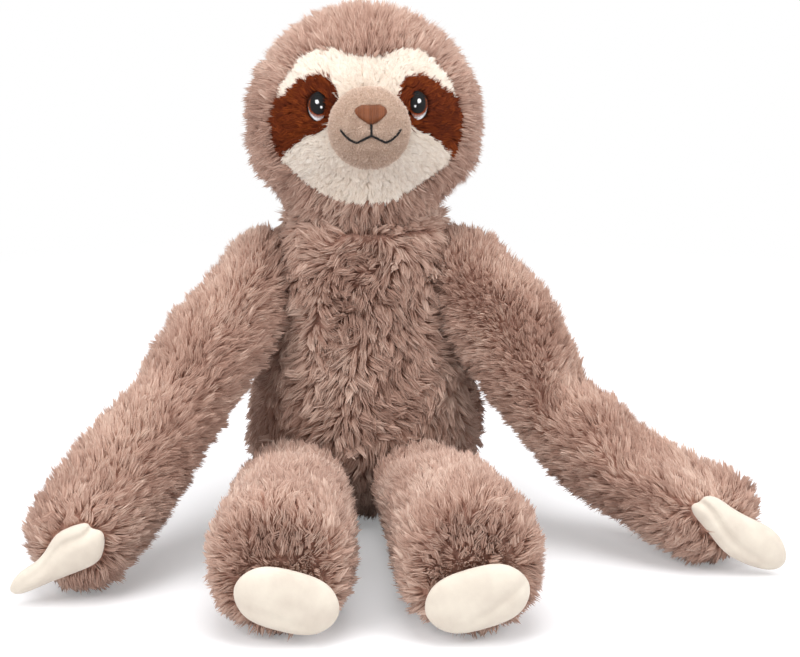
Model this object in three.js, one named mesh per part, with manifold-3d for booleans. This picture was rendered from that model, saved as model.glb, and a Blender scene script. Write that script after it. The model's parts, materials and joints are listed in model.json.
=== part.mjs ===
// A stuffed sloth that sits and faces -Y. Lengths are millimetres, +Z is up, and the origin is the
// middle of the seat's flat underside. Left and right are the toy's own, so its left is +X.

import * as THREE from 'three';
import { mergeVertices } from 'three/addons/utils/BufferGeometryUtils.js';
import Module from 'manifold-3d';

const wasm = await Module();
wasm.setup();

// Fits between pieces
const seamGap = 0.3;
const threadGap = 0.12;
const socketGap = 2;
const elbowGap = 0.5;
const cutOverrun = 6;
const floorCut = 0.5;

// Fabrics and threads
const pileThickness = 8;
const napThickness = 1.4;
const clawFabric = 1.2;
const threadRadius = socketGap / 2 - threadGap;

// Body
const bellyHeight = 56;
const bellyHalfWidth = 67.5;
const bellyHalfDepth = 57;
const chestHeight = 118;
const chestHalfWidth = 57;
const shoulderHeight = 140;
const shoulderHalfWidth = 52;
const neckHeight = 176;
const neckHalfWidth = 48;
const neckHalfDepth = 44;
const sideSeamForward = 7;
const pelletBagRadius = 34;
const pelletBagHeight = 26;
const seatCurveShare = 2.6;

// Head and neck
const neckBallRadius = 44;
const neckPivotRise = 20;
const neckOpeningRadius = 20;
const headRise = 40;
const headShift = 1.5;
const headHalfWidth = 67;
const headHalfDepth = 60;
const headHalfHeight = 58;
const headTurnDegrees = 3.5;
const jowlStartShare = -0.17;
const jowlShare = 0.42;
const jowlCurveShare = 1.5;
const crownTaperShare = 0.085;

// Face, in the front view from the middle of the head
const browPeakOut = 21.5;
const browPeakUp = 38.5;
const browDipUp = 34;
const faceHalfWidth = 53.5;
const chinDown = 47;
const patchTop = 24;
const patchBottom = 26;
const patchInner = 15.5;
const browSplitUp = 2.4;

// Muzzle, nose and mouth
const muzzleRadius = 22.5;
const muzzleDepth = 24;
const muzzleForward = 62;
const muzzleDrop = 2;
const noseWidth = 18;
const noseTop = 15;
const noseBottom = 6;
const noseThickness = 1.5;
const mouthHalfWidth = 15.6;
const mouthDip = 4.6;
const mouthEndUp = 1.4;
const mouthCurveShare = 0.8;
const mouthLiftShare = 3;
const mouthLine = 1.5;
const mouthThickness = 1;

// Eyes
const eyeOut = 27.3;
const eyeUp = 7.5;
const eyeSink = 3;
const eyeLayer = 0.6;
const eyeHalfWidth = 5.7;
const eyeHalfHeight = 7.6;
const irisHalfWidth = 5;
const irisHalfHeight = 6.4;
const irisUp = 0.7;
const pupilHalfWidth = 4.2;
const pupilHalfHeight = 5.7;
const pupilUp = 1.2;
const upperGlintRadius = 1.4;
const upperGlintUp = 4;
const lowerGlintRadius = 0.8;
const lowerGlintUp = 0.2;
const lowerGlintOut = 2.2;

// Arms
const shoulderOut = 57;
const shoulderForward = 8;
const shoulderBall = 27;
const upperArmLength = 116;
const upperArmRadius = 27;
const elbowRadius = 28.5;
const elbowBall = 27;
const elbowRimBack = 11;
const elbowOpeningRadius = 10;
const forearmLength = 88;
const forearmRadius = 29.5;
const handRadius = 29.5;
const handRoundShare = 0.9;
const shoulderSeamRadius = 9;

// Claws of the hands
const clawLength = 52;
const clawHalfWidth = 13.5;
const clawHalfThickness = 8;
const clawTipRadius = 6.5;
const clawBend = 4;
const clawFullnessShare = 0.7;
const clawForward = 22;
const clawUp = 9.3;

// Legs
const hipOut = 37;
const hipForward = 60;
const hipHeight = 32;
const hipBall = 29;
const legLength = 140;
const kneeRadius = 33.5;
const footRadius = 38;
const footRoundShare = 0.75;
const hipSeamRadius = 8;

// Claws of the feet
const footClawHalfWidth = 26;
const footClawHalfHeight = 17;
const footClawHalfThickness = 13;
const footClawForward = 28;
const footClawDown = 14;
const footClawRollDegrees = 10;

// Where each limb points at rest, in degrees: outward from straight ahead, and down
const rightSide = {
  name: 'right', sign: -1, armTurn: 32.5, armDrop: 34.5, handTurn: 31.7, legTurn: 0.9, clawIn: 11.5,
};
const leftSide = {
  name: 'left', sign: 1, armTurn: 55, armDrop: 45, handTurn: 53, legTurn: 8.8, clawIn: 2,
};
const clawDropDegrees = 33;

// How far the joints turn, in degrees
const elbowUnbendDegrees = 10;
const clawFlapDegrees = 30;
const elbowBendDegrees = 90;
const armInwardDegrees = 4;
const legHangDegrees = 80;
const legLiftDegrees = 25;
const legSpreadDegrees = 38;
const legSweepDegrees = [[-legHangDegrees, 0], [legLiftDegrees, 0], [legLiftDegrees, legSpreadDegrees]];

// Facets round each shape
const bodySides = 20;
const headSides = 20;
const headRings = 10;
const limbSides = 12;
const roomSides = 12;
const ringSides = 18;
const clawSides = 8;
const muzzleSides = 16;
const bagRings = 8;
const faceCorners = 32;
const patchCorners = 20;
const noseCorners = 18;
const eyeCorners = 16;
const irisCorners = 14;
const glintCorners = 8;
const limbRingShares = [0.33, 0.67, 1];

const longPile = { color: 0xa98c7d, roughness: 0.95 };
const creamPile = { color: 0xebe1d2, roughness: 0.95 };
const brownPile = { color: 0x6e3210, roughness: 0.9 };
const shortNap = { color: 0xaf9682, roughness: 0.9 };
const clawCloth = { color: 0xf5eede, roughness: 0.85 };
const noseThread = { color: 0x91552d, roughness: 0.5 };
const darkThread = { color: 0x120e0c, roughness: 0.5 };
const whiteThread = { color: 0xf2f0ec, roughness: 0.5 };
const irisThread = { color: 0x9a4716, roughness: 0.45 };
const seamThread = { color: 0x8d7568, roughness: 0.7 };
const stuffingFibre = { color: 0xf3f2ee, roughness: 1 };
const bagCloth = { color: 0xd9d6cf, roughness: 0.9 };

const up = new THREE.Vector3(0, 0, 1);
const latheAxis = new THREE.Vector3(0, 1, 0);
const quarterTurn = Math.PI / 2;
const aroundShare = 1 / Math.cos(Math.PI / roomSides);
const radians = THREE.MathUtils.degToRad;

// Turns a three.js geometry into a solid that can be joined and cut.
function solidOf(geometry) {
  const bare = geometry.clone();
  bare.deleteAttribute('normal');
  bare.deleteAttribute('uv');
  const merged = mergeVertices(bare);
  const corners = merged.index.array;
  const kept = [];
  for (let i = 0; i < corners.length; i += 3) {
    const [a, b, c] = [corners[i], corners[i + 1], corners[i + 2]];
    if (a !== b && b !== c && c !== a) kept.push(a, b, c);
  }
  const vertProperties = new Float32Array(merged.attributes.position.array);
  return new wasm.Manifold(new wasm.Mesh({ numProp: 3, vertProperties, triVerts: new Uint32Array(kept) }));
}

function geometryOf(solid) {
  const mesh = solid.getMesh();
  const geometry = new THREE.BufferGeometry();
  const positions = new Float32Array(mesh.numVert * 3);
  for (let i = 0; i < mesh.numVert; i += 1) {
    for (let k = 0; k < 3; k += 1) positions[3 * i + k] = mesh.vertProperties[mesh.numProp * i + k];
  }
  geometry.setAttribute('position', new THREE.BufferAttribute(positions, 3));
  geometry.setIndex(new THREE.BufferAttribute(new Uint32Array(mesh.triVerts), 1));
  geometry.computeVertexNormals();
  return geometry;
}

// A turned shape about +Z from [radius, height] pairs that run from the bottom to the top.
function turned(profile, sides) {
  const geometry = new THREE.LatheGeometry(profile.map(([r, h]) => new THREE.Vector2(r, h)), sides);
  return geometry.rotateX(quarterTurn);
}

function ellipsoid(halfX, halfY, halfZ, centre, sides, rings) {
  const profile = [];
  for (let i = 0; i <= rings; i += 1) {
    const angle = Math.PI * (i / rings) - quarterTurn;
    const onAxis = i === 0 || i === rings;
    profile.push([onAxis ? 0 : Math.cos(angle), Math.sin(angle)]);
  }
  const geometry = turned(profile, sides).scale(halfX, halfY, halfZ);
  return geometry.translate(centre.x, centre.y, centre.z);
}

// Room for a ball of this radius: no facet comes nearer to the centre than the radius.
function roundRoom(radius, centre) {
  const corner = radius * aroundShare ** 2;
  return solidOf(ellipsoid(corner, corner, corner, centre, roomSides, roomSides / 2));
}

function block(low, high) {
  const size = high.clone().sub(low);
  const middle = high.clone().add(low).multiplyScalar(1 / 2);
  const geometry = new THREE.BoxGeometry(size.x, size.y, size.z);
  return solidOf(geometry.translate(middle.x, middle.y, middle.z));
}

// Everything under the floor, to cut a shape flat where it rests.
function underFloor(reach) {
  return block(new THREE.Vector3(-reach, -reach, -reach), new THREE.Vector3(reach, reach, 0));
}

// A straight limb: a ball at its root, a swell at its middle and a rounded end, laid along a direction.
function limbGeometry(limb, grow) {
  const { start, direction, length, root, middle, end, endShare } = limb;
  const profile = [];
  const rootSteps = 4;
  for (let i = 0; i <= rootSteps; i += 1) {
    const angle = quarterTurn * (i / rootSteps) - quarterTurn;
    profile.push([i === 0 ? 0 : (root + grow) * Math.cos(angle), (root + grow) * Math.sin(angle)]);
  }
  const radii = new THREE.SplineCurve([
    new THREE.Vector2(0, root),
    new THREE.Vector2(length / 2, middle),
    new THREE.Vector2(length, end),
  ]);
  for (const share of limbRingShares) {
    const point = radii.getPoint(share);
    profile.push([point.y + grow, point.x]);
  }
  const capSteps = 3;
  for (let i = 1; i <= capSteps; i += 1) {
    const angle = quarterTurn * (i / capSteps);
    const radius = i === capSteps ? 0 : (end + grow) * Math.cos(angle);
    profile.push([radius, length + (end * endShare + grow) * Math.sin(angle)]);
  }
  const geometry = new THREE.LatheGeometry(profile.map(([r, h]) => new THREE.Vector2(r, h)), limbSides);
  geometry.applyQuaternion(new THREE.Quaternion().setFromUnitVectors(latheAxis, direction));
  return geometry.translate(start.x, start.y, start.z);
}

function limb(shape, grow = 0) {
  return solidOf(limbGeometry(shape, grow));
}

// The room that a limb fills when it has turned about a pivot at its root: a straight cone.
function roomOf(shape, grow, turns) {
  const direction = shape.direction.clone();
  for (const [axis, degrees] of turns) direction.applyAxisAngle(axis, radians(degrees));
  const far = (Math.max(shape.middle, shape.end) + grow) * aroundShare;
  const near = (shape.middle + grow) * aroundShare;
  const geometry = new THREE.CylinderGeometry(far, near, shape.length, roomSides);
  geometry.translate(0, shape.length / 2, 0);
  geometry.applyQuaternion(new THREE.Quaternion().setFromUnitVectors(latheAxis, direction));
  return solidOf(geometry.translate(shape.start.x, shape.start.y, shape.start.z));
}

// The dish that an arm sweeps out of the body's side as it swings about an axis along X. The cone
// that it leaves is tangent to the round room of the shoulder's ball.
function shoulderDish(shape, side, grow) {
  const lean = Math.acos(Math.abs(shape.direction.x)) + radians(armInwardDegrees);
  const round = (Math.max(shape.middle, shape.root) + grow) * aroundShare;
  const steps = 3;
  const arc = [];
  for (let i = 0; i <= steps; i += 1) {
    const angle = (quarterTurn - lean) * (i / steps);
    arc.push(new THREE.Vector2(round * Math.sin(angle), round * Math.cos(angle)));
  }
  const tangent = arc[arc.length - 1];
  const far = new THREE.Vector2(
    tangent.x + Math.sin(lean) * shape.length,
    tangent.y - Math.cos(lean) * shape.length,
  );
  const outline = [...arc, far, new THREE.Vector2(0, far.y)].reverse();
  const geometry = new THREE.LatheGeometry(outline, roomSides);
  const inward = new THREE.Vector3(-side.sign, 0, 0);
  geometry.applyQuaternion(new THREE.Quaternion().setFromUnitVectors(latheAxis, inward));
  return solidOf(geometry.translate(shape.start.x, shape.start.y, shape.start.z));
}

// A ring of seam thread that lies on a sphere round a pivot, facing along an axis.
function threadRing(pivot, sphere, radius, axis) {
  const rise = Math.sqrt(sphere * sphere - radius * radius);
  const corner = radius / Math.cos(Math.PI / ringSides);
  const profile = [];
  const steps = 4;
  for (let i = 0; i <= steps; i += 1) {
    const angle = 2 * Math.PI * ((i % steps) / steps);
    const out = corner + threadRadius * Math.cos(angle);
    profile.push(new THREE.Vector2(out, rise + threadRadius * Math.sin(angle)));
  }
  const geometry = new THREE.LatheGeometry(profile, ringSides);
  geometry.applyQuaternion(new THREE.Quaternion().setFromUnitVectors(latheAxis, axis));
  return solidOf(geometry.translate(pivot.x, pivot.y, pivot.z));
}

// A closed outline through points, as evenly spaced corners.
function loopThrough(points, corners) {
  const knots = points.map(([x, z]) => new THREE.Vector3(x, z, 0));
  const curve = new THREE.CatmullRomCurve3(knots, true, 'centripetal');
  return curve.getSpacedPoints(corners).slice(0, corners).map((p) => new THREE.Vector2(p.x, p.y));
}

function ovalLoop(halfWidth, halfHeight, centre, corners) {
  const points = [];
  for (let i = 0; i < corners; i += 1) {
    const angle = 2 * Math.PI * (i / corners);
    const x = centre[0] + halfWidth * Math.cos(angle);
    points.push(new THREE.Vector2(x, centre[1] + halfHeight * Math.sin(angle)));
  }
  return points;
}

// Moves every corner of an outline outward by a distance.
function grown(loop, distance) {
  const outward = THREE.ShapeUtils.area(loop) > 0 ? 1 : -1;
  return loop.map((point, i) => {
    const before = loop[(i + loop.length - 1) % loop.length];
    const after = loop[(i + 1) % loop.length];
    const along = after.clone().sub(before).normalize();
    return new THREE.Vector2(point.x + along.y * distance * outward, point.y - along.x * distance * outward);
  });
}

// A front-view outline pushed back through the head as a prism.
function prism(loop, centre) {
  const geometry = new THREE.ExtrudeGeometry(new THREE.Shape(loop), {
    depth: muzzleForward + muzzleDepth + cutOverrun,
    bevelEnabled: false,
  });
  geometry.rotateX(quarterTurn);
  return solidOf(geometry.translate(centre.x, centre.y, centre.z));
}

function mirrored(points, sign) {
  return points.map(([x, z]) => [sign * x, z]);
}

const root = new THREE.Group();

function bodyGroup(parent, pivot) {
  const group = new THREE.Group();
  parent.add(group);
  group.position.copy(pivot).sub(parent.getWorldPosition(new THREE.Vector3()));
  group.updateMatrixWorld(true);
  return group;
}

function addMesh(group, name, geometry, look) {
  const material = new THREE.MeshStandardMaterial({ ...look, metalness: 0 });
  const mesh = new THREE.Mesh(geometry, material);
  mesh.name = name;
  group.add(mesh);
}

// Adds a solid that was made in the toy's own frame to a group that stands at a pivot.
function addPart(group, name, solid, look) {
  const geometry = geometryOf(solid);
  geometry.applyMatrix4(group.matrixWorld.clone().invert());
  addMesh(group, name, geometry, look);
}

// Adds a solid that was made in the group's own frame.
function addLocal(group, name, solid, look) {
  addMesh(group, name, geometryOf(solid), look);
}

// The pear of the body, with its walls drawn in by a thickness.
function bodyShape(inward) {
  const profile = [];
  const seatSteps = 5;
  const seatDepth = bellyHeight + floorCut;
  for (let i = 0; i <= seatSteps; i += 1) {
    const drop = Math.cos(quarterTurn * (i / seatSteps));
    const width = (1 - drop ** seatCurveShare) ** (1 / seatCurveShare);
    const radius = i === 0 ? 0 : (bellyHalfWidth - inward) * width;
    profile.push([radius, bellyHeight - (seatDepth - inward) * drop]);
  }
  const flank = new THREE.SplineCurve([
    new THREE.Vector2(bellyHalfWidth, bellyHeight),
    new THREE.Vector2(chestHalfWidth, chestHeight),
    new THREE.Vector2(shoulderHalfWidth, shoulderHeight),
    new THREE.Vector2(neckHalfWidth, neckHeight),
  ]);
  const flankSteps = 6;
  for (let i = 1; i <= flankSteps; i += 1) {
    const point = flank.getPoint(i / flankSteps);
    profile.push([point.x - inward, i === flankSteps ? neckHeight - inward : point.y]);
  }
  profile.push([0, neckHeight - inward]);
  const geometry = turned(profile, bodySides);
  const position = geometry.attributes.position;
  for (let i = 0; i < position.count; i += 1) {
    const rise = THREE.MathUtils.smoothstep(position.getZ(i), bellyHeight, neckHeight);
    const [bellyShare, neckShare] = [bellyHalfDepth / bellyHalfWidth, neckHalfDepth / neckHalfWidth];
    const depthShare = THREE.MathUtils.lerp(bellyShare, neckShare, rise);
    position.setY(i, position.getY(i) * depthShare);
  }
  return solidOf(geometry);
}

// How much wider than a plain oval the head is at a height, from -1 at its bottom to 1 at its top.
function headFullness(height) {
  if (height > jowlStartShare) return 1 - crownTaperShare * (height - jowlStartShare);
  const below = (jowlStartShare - height) / (1 + jowlStartShare);
  return 1 + jowlShare * below ** jowlCurveShare;
}

function headShape(grow) {
  const halfWidth = headHalfWidth + grow;
  const halfDepth = headHalfDepth + grow;
  const halfHeight = headHalfHeight + grow;
  const oval = ellipsoid(halfWidth, halfDepth, halfHeight, new THREE.Vector3(), headSides, headRings);
  const position = oval.attributes.position;
  for (let i = 0; i < position.count; i += 1) {
    const height = THREE.MathUtils.clamp(position.getZ(i) / halfHeight, -1, 1);
    position.setX(i, position.getX(i) * headFullness(height));
  }
  return solidOf(oval.translate(headShift, 0, headRise));
}

// The head and the ball of its neck, about the neck's pivot.
function headAndNeck(grow) {
  const neck = ellipsoid(
    neckBallRadius + grow,
    neckBallRadius + grow,
    neckBallRadius + grow,
    new THREE.Vector3(),
    headSides,
    headRings,
  );
  return headShape(grow).add(solidOf(neck));
}

function muzzleShape(grow) {
  const middle = new THREE.Vector3(headShift, -muzzleForward, headRise - muzzleDrop);
  const radius = muzzleRadius + grow;
  return solidOf(ellipsoid(radius, muzzleDepth + grow, radius, middle, muzzleSides, muzzleSides / 2));
}

// Where a side's arm lies at rest.
function armPlaces(side) {
  const { sign } = side;
  const shoulder = new THREE.Vector3(sign * shoulderOut, -shoulderForward, shoulderHeight);
  const upper = pointing(sign, side.armTurn, side.armDrop);
  const elbow = shoulder.clone().addScaledVector(upper, upperArmLength);
  const handHeight = handRadius - floorCut;
  const foreDrop = THREE.MathUtils.radToDeg(Math.asin((elbow.z - handHeight) / forearmLength));
  const fore = pointing(sign, side.handTurn, foreDrop);
  const hand = elbow.clone().addScaledVector(fore, forearmLength);
  return { shoulder, upper, elbow, fore, hand };
}

// A direction that is turned outward from straight ahead and dropped below the level.
function pointing(sign, turnDegrees, dropDegrees) {
  const turn = radians(turnDegrees);
  const drop = radians(dropDegrees);
  return new THREE.Vector3(
    sign * Math.sin(turn) * Math.cos(drop),
    -Math.cos(turn) * Math.cos(drop),
    -Math.sin(drop),
  );
}

function upperArmShape(places) {
  return {
    start: places.shoulder,
    direction: places.upper,
    length: upperArmLength - elbowRimBack,
    root: shoulderBall,
    middle: upperArmRadius,
    end: elbowRadius,
    endShare: 0,
  };
}

function forearmShape(places) {
  return {
    start: places.elbow,
    direction: places.fore,
    length: forearmLength,
    root: elbowBall,
    middle: forearmRadius,
    end: handRadius,
    endShare: handRoundShare,
  };
}

function elbowAxis(places) {
  return new THREE.Vector3().crossVectors(places.fore, up).normalize();
}

function legPlaces(side) {
  const hip = new THREE.Vector3(side.sign * hipOut, -hipForward, hipHeight);
  const footHeight = footRadius - floorCut;
  const drop = THREE.MathUtils.radToDeg(Math.asin((hipHeight - footHeight) / legLength));
  const along = pointing(side.sign, side.legTurn, drop);
  const foot = hip.clone().addScaledVector(along, legLength);
  return { hip, along, foot };
}

function legShape(places) {
  return {
    start: places.hip,
    direction: places.along,
    length: legLength,
    root: hipBall,
    middle: kneeRadius,
    end: footRadius,
    endShare: footRoundShare,
  };
}

// The frame of a hand's claw: its origin is the claw's base, and it points along its own +X.
function handClawFrame(side, places) {
  const { sign } = side;
  const drop = radians(clawDropDegrees);
  const along = new THREE.Vector3(sign * Math.cos(drop), 0, -Math.sin(drop));
  const outward = new THREE.Vector3(0, -1, 0);
  const across = new THREE.Vector3().crossVectors(outward, along);
  const base = places.hand.clone().add(new THREE.Vector3(-sign * side.clawIn, -clawForward, clawUp));
  return new THREE.Matrix4().makeBasis(along, across, outward).setPosition(base);
}

// A blunt claw that narrows to its tip and curls a little, lying along +X with +Z outward.
function clawShape(grow) {
  const profile = [];
  const steps = 7;
  const halfLength = clawLength / 2;
  for (let i = 0; i <= steps; i += 1) {
    const angle = Math.PI * (i / steps) - quarterTurn;
    const along = Math.sin(angle);
    const width = THREE.MathUtils.lerp(clawHalfWidth, clawTipRadius, (along + 1) / 2);
    const onAxis = i === 0 || i === steps;
    const radius = onAxis ? 0 : (width + grow) * Math.cos(angle) ** clawFullnessShare;
    profile.push([radius, halfLength + (halfLength + grow) * along]);
  }
  const geometry = new THREE.LatheGeometry(profile.map(([r, h]) => new THREE.Vector2(r, h)), clawSides);
  geometry.rotateZ(-quarterTurn);
  geometry.scale(1, 1, (clawHalfThickness + grow) / (clawHalfWidth + grow));
  const position = geometry.attributes.position;
  for (let i = 0; i < position.count; i += 1) {
    const share = position.getX(i) / clawLength;
    position.setY(i, position.getY(i) + clawBend * Math.sin(Math.PI * share));
  }
  return geometry;
}

function footClawShape(grow) {
  return ellipsoid(
    footClawHalfWidth + grow,
    footClawHalfHeight + grow,
    footClawHalfThickness + grow,
    new THREE.Vector3(0, -footClawHalfHeight, 0),
    limbSides,
    clawSides,
  );
}

// The frame of a foot's claw: its origin is its upper edge, +Y is up along it and +Z points ahead.
function footClawFrame(side, places) {
  const roll = radians(side.sign * footClawRollDegrees);
  const across = new THREE.Vector3(Math.cos(roll), 0, Math.sin(roll));
  const ahead = new THREE.Vector3(0, -1, 0);
  const upward = new THREE.Vector3().crossVectors(ahead, across);
  const centre = places.foot.clone().add(new THREE.Vector3(0, -footClawForward, -footClawDown));
  const top = centre.addScaledVector(upward, footClawHalfHeight);
  return new THREE.Matrix4().makeBasis(across, upward, ahead).setPosition(top);
}

function buildTorso(arms, legs) {
  const neckPivot = new THREE.Vector3(0, 0, neckHeight + neckPivotRise);
  const hollows = (grow) => {
    const wide = socketGap + grow;
    let all = roundRoom(neckBallRadius + wide, neckPivot);
    for (const side of [rightSide, leftSide]) {
      const arm = upperArmShape(arms[side.name]);
      const leg = legShape(legs[side.name]);
      all = all.add(shoulderDish(arm, side, wide)).add(roundRoom(hipBall + wide, leg.start));
      for (const [lift, spread] of legSweepDegrees) {
        const turns = [[new THREE.Vector3(-1, 0, 0), lift], [new THREE.Vector3(0, 0, side.sign), spread]];
        all = all.add(roomOf(leg, wide, turns));
      }
    }
    return all;
  };
  const reach = bellyHalfWidth + neckHeight;
  const whole = bodyShape(0).subtract(underFloor(reach)).subtract(hollows(0));
  const hollow = bodyShape(pileThickness).subtract(hollows(pileThickness));
  const filling = bodyShape(pileThickness + seamGap).subtract(hollows(pileThickness + seamGap));
  const cover = whole.subtract(hollow);
  const seam = -sideSeamForward;
  const front = block(
    new THREE.Vector3(-reach, -reach, -reach),
    new THREE.Vector3(reach, seam - seamGap / 2, reach),
  );
  const back = block(
    new THREE.Vector3(-reach, seam + seamGap / 2, -reach),
    new THREE.Vector3(reach, reach, reach),
  );
  const bagMiddle = new THREE.Vector3(0, pelletBagRadius / 2, pileThickness);
  const bagAt = (grow) => {
    const radius = pelletBagRadius + grow;
    return solidOf(ellipsoid(radius, radius, pelletBagHeight + grow, bagMiddle, limbSides, bagRings));
  };
  const bag = bagAt(0).intersect(filling);
  const torso = bodyGroup(root, new THREE.Vector3());
  addPart(torso, 'torso_front_panel', cover.intersect(front), longPile);
  addPart(torso, 'torso_back_panel', cover.intersect(back), longPile);
  addPart(torso, 'torso_stuffing', filling.subtract(bagAt(seamGap)), stuffingFibre);
  addPart(torso, 'seat_pellet_bag', bag, bagCloth);
  return torso;
}

// The face's outline in the front view: brow peaks and dip, temples, cheeks and chin.
function faceLoop() {
  const half = [
    [browPeakOut * 0.5, browDipUp * 1.05],
    [browPeakOut, browPeakUp],
    [faceHalfWidth * 0.65, browPeakUp * 0.88],
    [faceHalfWidth * 0.83, browPeakUp * 0.6],
    [faceHalfWidth * 0.95, browPeakUp * 0.27],
    [faceHalfWidth, -chinDown * 0.12],
    [faceHalfWidth * 0.95, -chinDown * 0.42],
    [faceHalfWidth * 0.81, -chinDown * 0.64],
    [faceHalfWidth * 0.58, -chinDown * 0.83],
    [faceHalfWidth * 0.3, -chinDown * 0.96],
  ];
  const outline = [[0, browDipUp], ...half, [0, -chinDown], ...mirrored(half, -1).reverse()];
  return headLoop(outline, faceCorners);
}

// The eye patch, which droops outward past the face's edge.
function patchLoop(sign) {
  const points = [
    [faceHalfWidth * 0.38, patchTop * 0.96],
    [faceHalfWidth * 0.54, patchTop],
    [faceHalfWidth * 0.7, patchTop * 0.84],
    [faceHalfWidth * 0.88, patchTop * 0.46],
    [faceHalfWidth * 1.06, patchTop * 0.17],
    [faceHalfWidth * 1.1, -patchBottom * 0.4],
    [faceHalfWidth * 0.96, -patchBottom],
    [faceHalfWidth * 0.77, -patchBottom * 0.6],
    [faceHalfWidth * 0.63, -patchBottom * 0.35],
    [faceHalfWidth * 0.46, -patchBottom * 0.2],
    [faceHalfWidth * 0.36, patchTop * 0.1],
    [patchInner, patchTop * 0.52],
  ];
  return headLoop(mirrored(points, sign), patchCorners);
}

// A closed outline given from the middle of the head.
function headLoop(points, corners) {
  return loopThrough(points.map(([x, z]) => [x + headShift, z + headRise]), corners);
}

function eyeOval(sign, halfWidth, halfHeight, rise, out, corners) {
  const centre = [headShift + sign * (eyeOut + out), headRise + eyeUp + rise];
  return ovalLoop(halfWidth, halfHeight, centre, corners);
}

// One embroidered layer of an eye, counted up from the white.
function eyeLayerShape(loop, level) {
  const low = level === 0 ? -pileThickness : level * (eyeLayer + seamGap) - eyeSink - eyeLayer;
  const high = level * (eyeLayer + seamGap) - eyeSink;
  return headShape(high).subtract(headShape(low)).intersect(prism(loop, new THREE.Vector3()));
}

function addEye(head, side) {
  const { name, sign } = side;
  const white = eyeOval(sign, eyeHalfWidth, eyeHalfHeight, 0, 0, eyeCorners);
  const iris = eyeOval(sign, irisHalfWidth, irisHalfHeight, irisUp, 0, irisCorners);
  const pupil = eyeOval(sign, pupilHalfWidth, pupilHalfHeight, pupilUp, 0, irisCorners);
  const upper = eyeOval(sign, upperGlintRadius, upperGlintRadius, upperGlintUp, 0, glintCorners);
  const lower = eyeOval(sign, lowerGlintRadius, lowerGlintRadius, lowerGlintUp, lowerGlintOut, glintCorners);
  addLocal(head, `eye_white_${name}`, eyeLayerShape(white, 0), whiteThread);
  addLocal(head, `eye_iris_${name}`, eyeLayerShape(iris, 1), irisThread);
  addLocal(head, `eye_pupil_${name}`, eyeLayerShape(pupil, 2), darkThread);
  addLocal(head, `eye_upper_glint_${name}`, eyeLayerShape(upper, 3), whiteThread);
  addLocal(head, `eye_lower_glint_${name}`, eyeLayerShape(lower, 3), whiteThread);
}

// The pile panels of the head: hood, brow, cheeks and eye patches, all cut from one thick shell.
function addHeadPanels(head) {
  const shell = headAndNeck(0).subtract(headAndNeck(-pileThickness));
  const origin = new THREE.Vector3();
  const reach = headHalfWidth + headRise + headHalfHeight;
  const face = prism(grown(faceLoop(), -seamGap / 2), origin);
  const window = prism(grown(faceLoop(), seamGap / 2), origin);
  const muzzleHole = muzzleShape(seamGap);
  const neckOpening = turned(
    [[0, -reach], [neckOpeningRadius, -reach], [neckOpeningRadius, 0], [0, 0]],
    clawSides,
  );
  addLocal(head, 'head_hood', shell.subtract(window).subtract(solidOf(neckOpening)), longPile);

  const split = headRise + browSplitUp;
  const above = block(
    new THREE.Vector3(-reach, -reach, split + seamGap / 2),
    new THREE.Vector3(reach, reach, reach),
  );
  let cream = shell.intersect(face).subtract(muzzleHole);
  for (const side of [rightSide, leftSide]) {
    cream = cream.subtract(prism(grown(patchLoop(side.sign), seamGap / 2), origin));
  }
  addLocal(head, 'brow_panel', cream.intersect(above), creamPile);
  for (const side of [rightSide, leftSide]) {
    const near = headShift + side.sign * seamGap / 2;
    const far = headShift + side.sign * reach;
    const below = block(
      new THREE.Vector3(Math.min(near, far), -reach, -reach),
      new THREE.Vector3(Math.max(near, far), reach, split - seamGap / 2),
    );
    addLocal(head, `cheek_panel_${side.name}`, cream.intersect(below), creamPile);
    const eye = eyeOval(side.sign, eyeHalfWidth + seamGap, eyeHalfHeight + seamGap, 0, 0, eyeCorners);
    const patch = shell
      .intersect(face)
      .intersect(prism(grown(patchLoop(side.sign), -seamGap / 2), origin))
      .subtract(muzzleHole)
      .subtract(prism(eye, origin));
    addLocal(head, `eye_patch_${side.name}`, patch, brownPile);
  }
}

// The mouth: a short line down from the nose and a curve to each side of it.
function mouthLoop() {
  const steps = 6;
  const half = mouthLine / 2;
  const lower = [];
  const upper = [];
  for (let i = 0; i <= steps; i += 1) {
    const share = i / steps;
    const x = mouthHalfWidth * share;
    const dip = mouthDip * Math.sin(Math.PI * share ** mouthCurveShare);
    const z = mouthEndUp * share ** mouthLiftShare - dip;
    lower.push([x, z - half]);
    upper.push([x + (i === 0 ? half : 0), z + half]);
  }
  const top = noseBottom - seamGap;
  const right = [...lower, ...upper.reverse()];
  const left = mirrored(right, -1).reverse();
  const outline = [...right, [half, top], [-half, top], ...left];
  const centre = [headShift, headRise - muzzleDrop];
  return outline.slice(0, -1).map(([x, z]) => new THREE.Vector2(x + centre[0], z + centre[1]));
}

function noseLoop() {
  const half = noseWidth / 2;
  const height = noseTop - noseBottom;
  const points = [
    [0, noseTop],
    [half * 0.7, noseTop - height * 0.04],
    [half, noseTop - height * 0.24],
    [half * 0.62, noseBottom + height * 0.38],
    [0, noseBottom],
  ];
  const left = mirrored(points.slice(1, -1), -1).reverse();
  const centre = [headShift, headRise - muzzleDrop];
  const outline = [...points, ...left].map(([x, z]) => [x + centre[0], z + centre[1]]);
  return loopThrough(outline, noseCorners);
}

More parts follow.
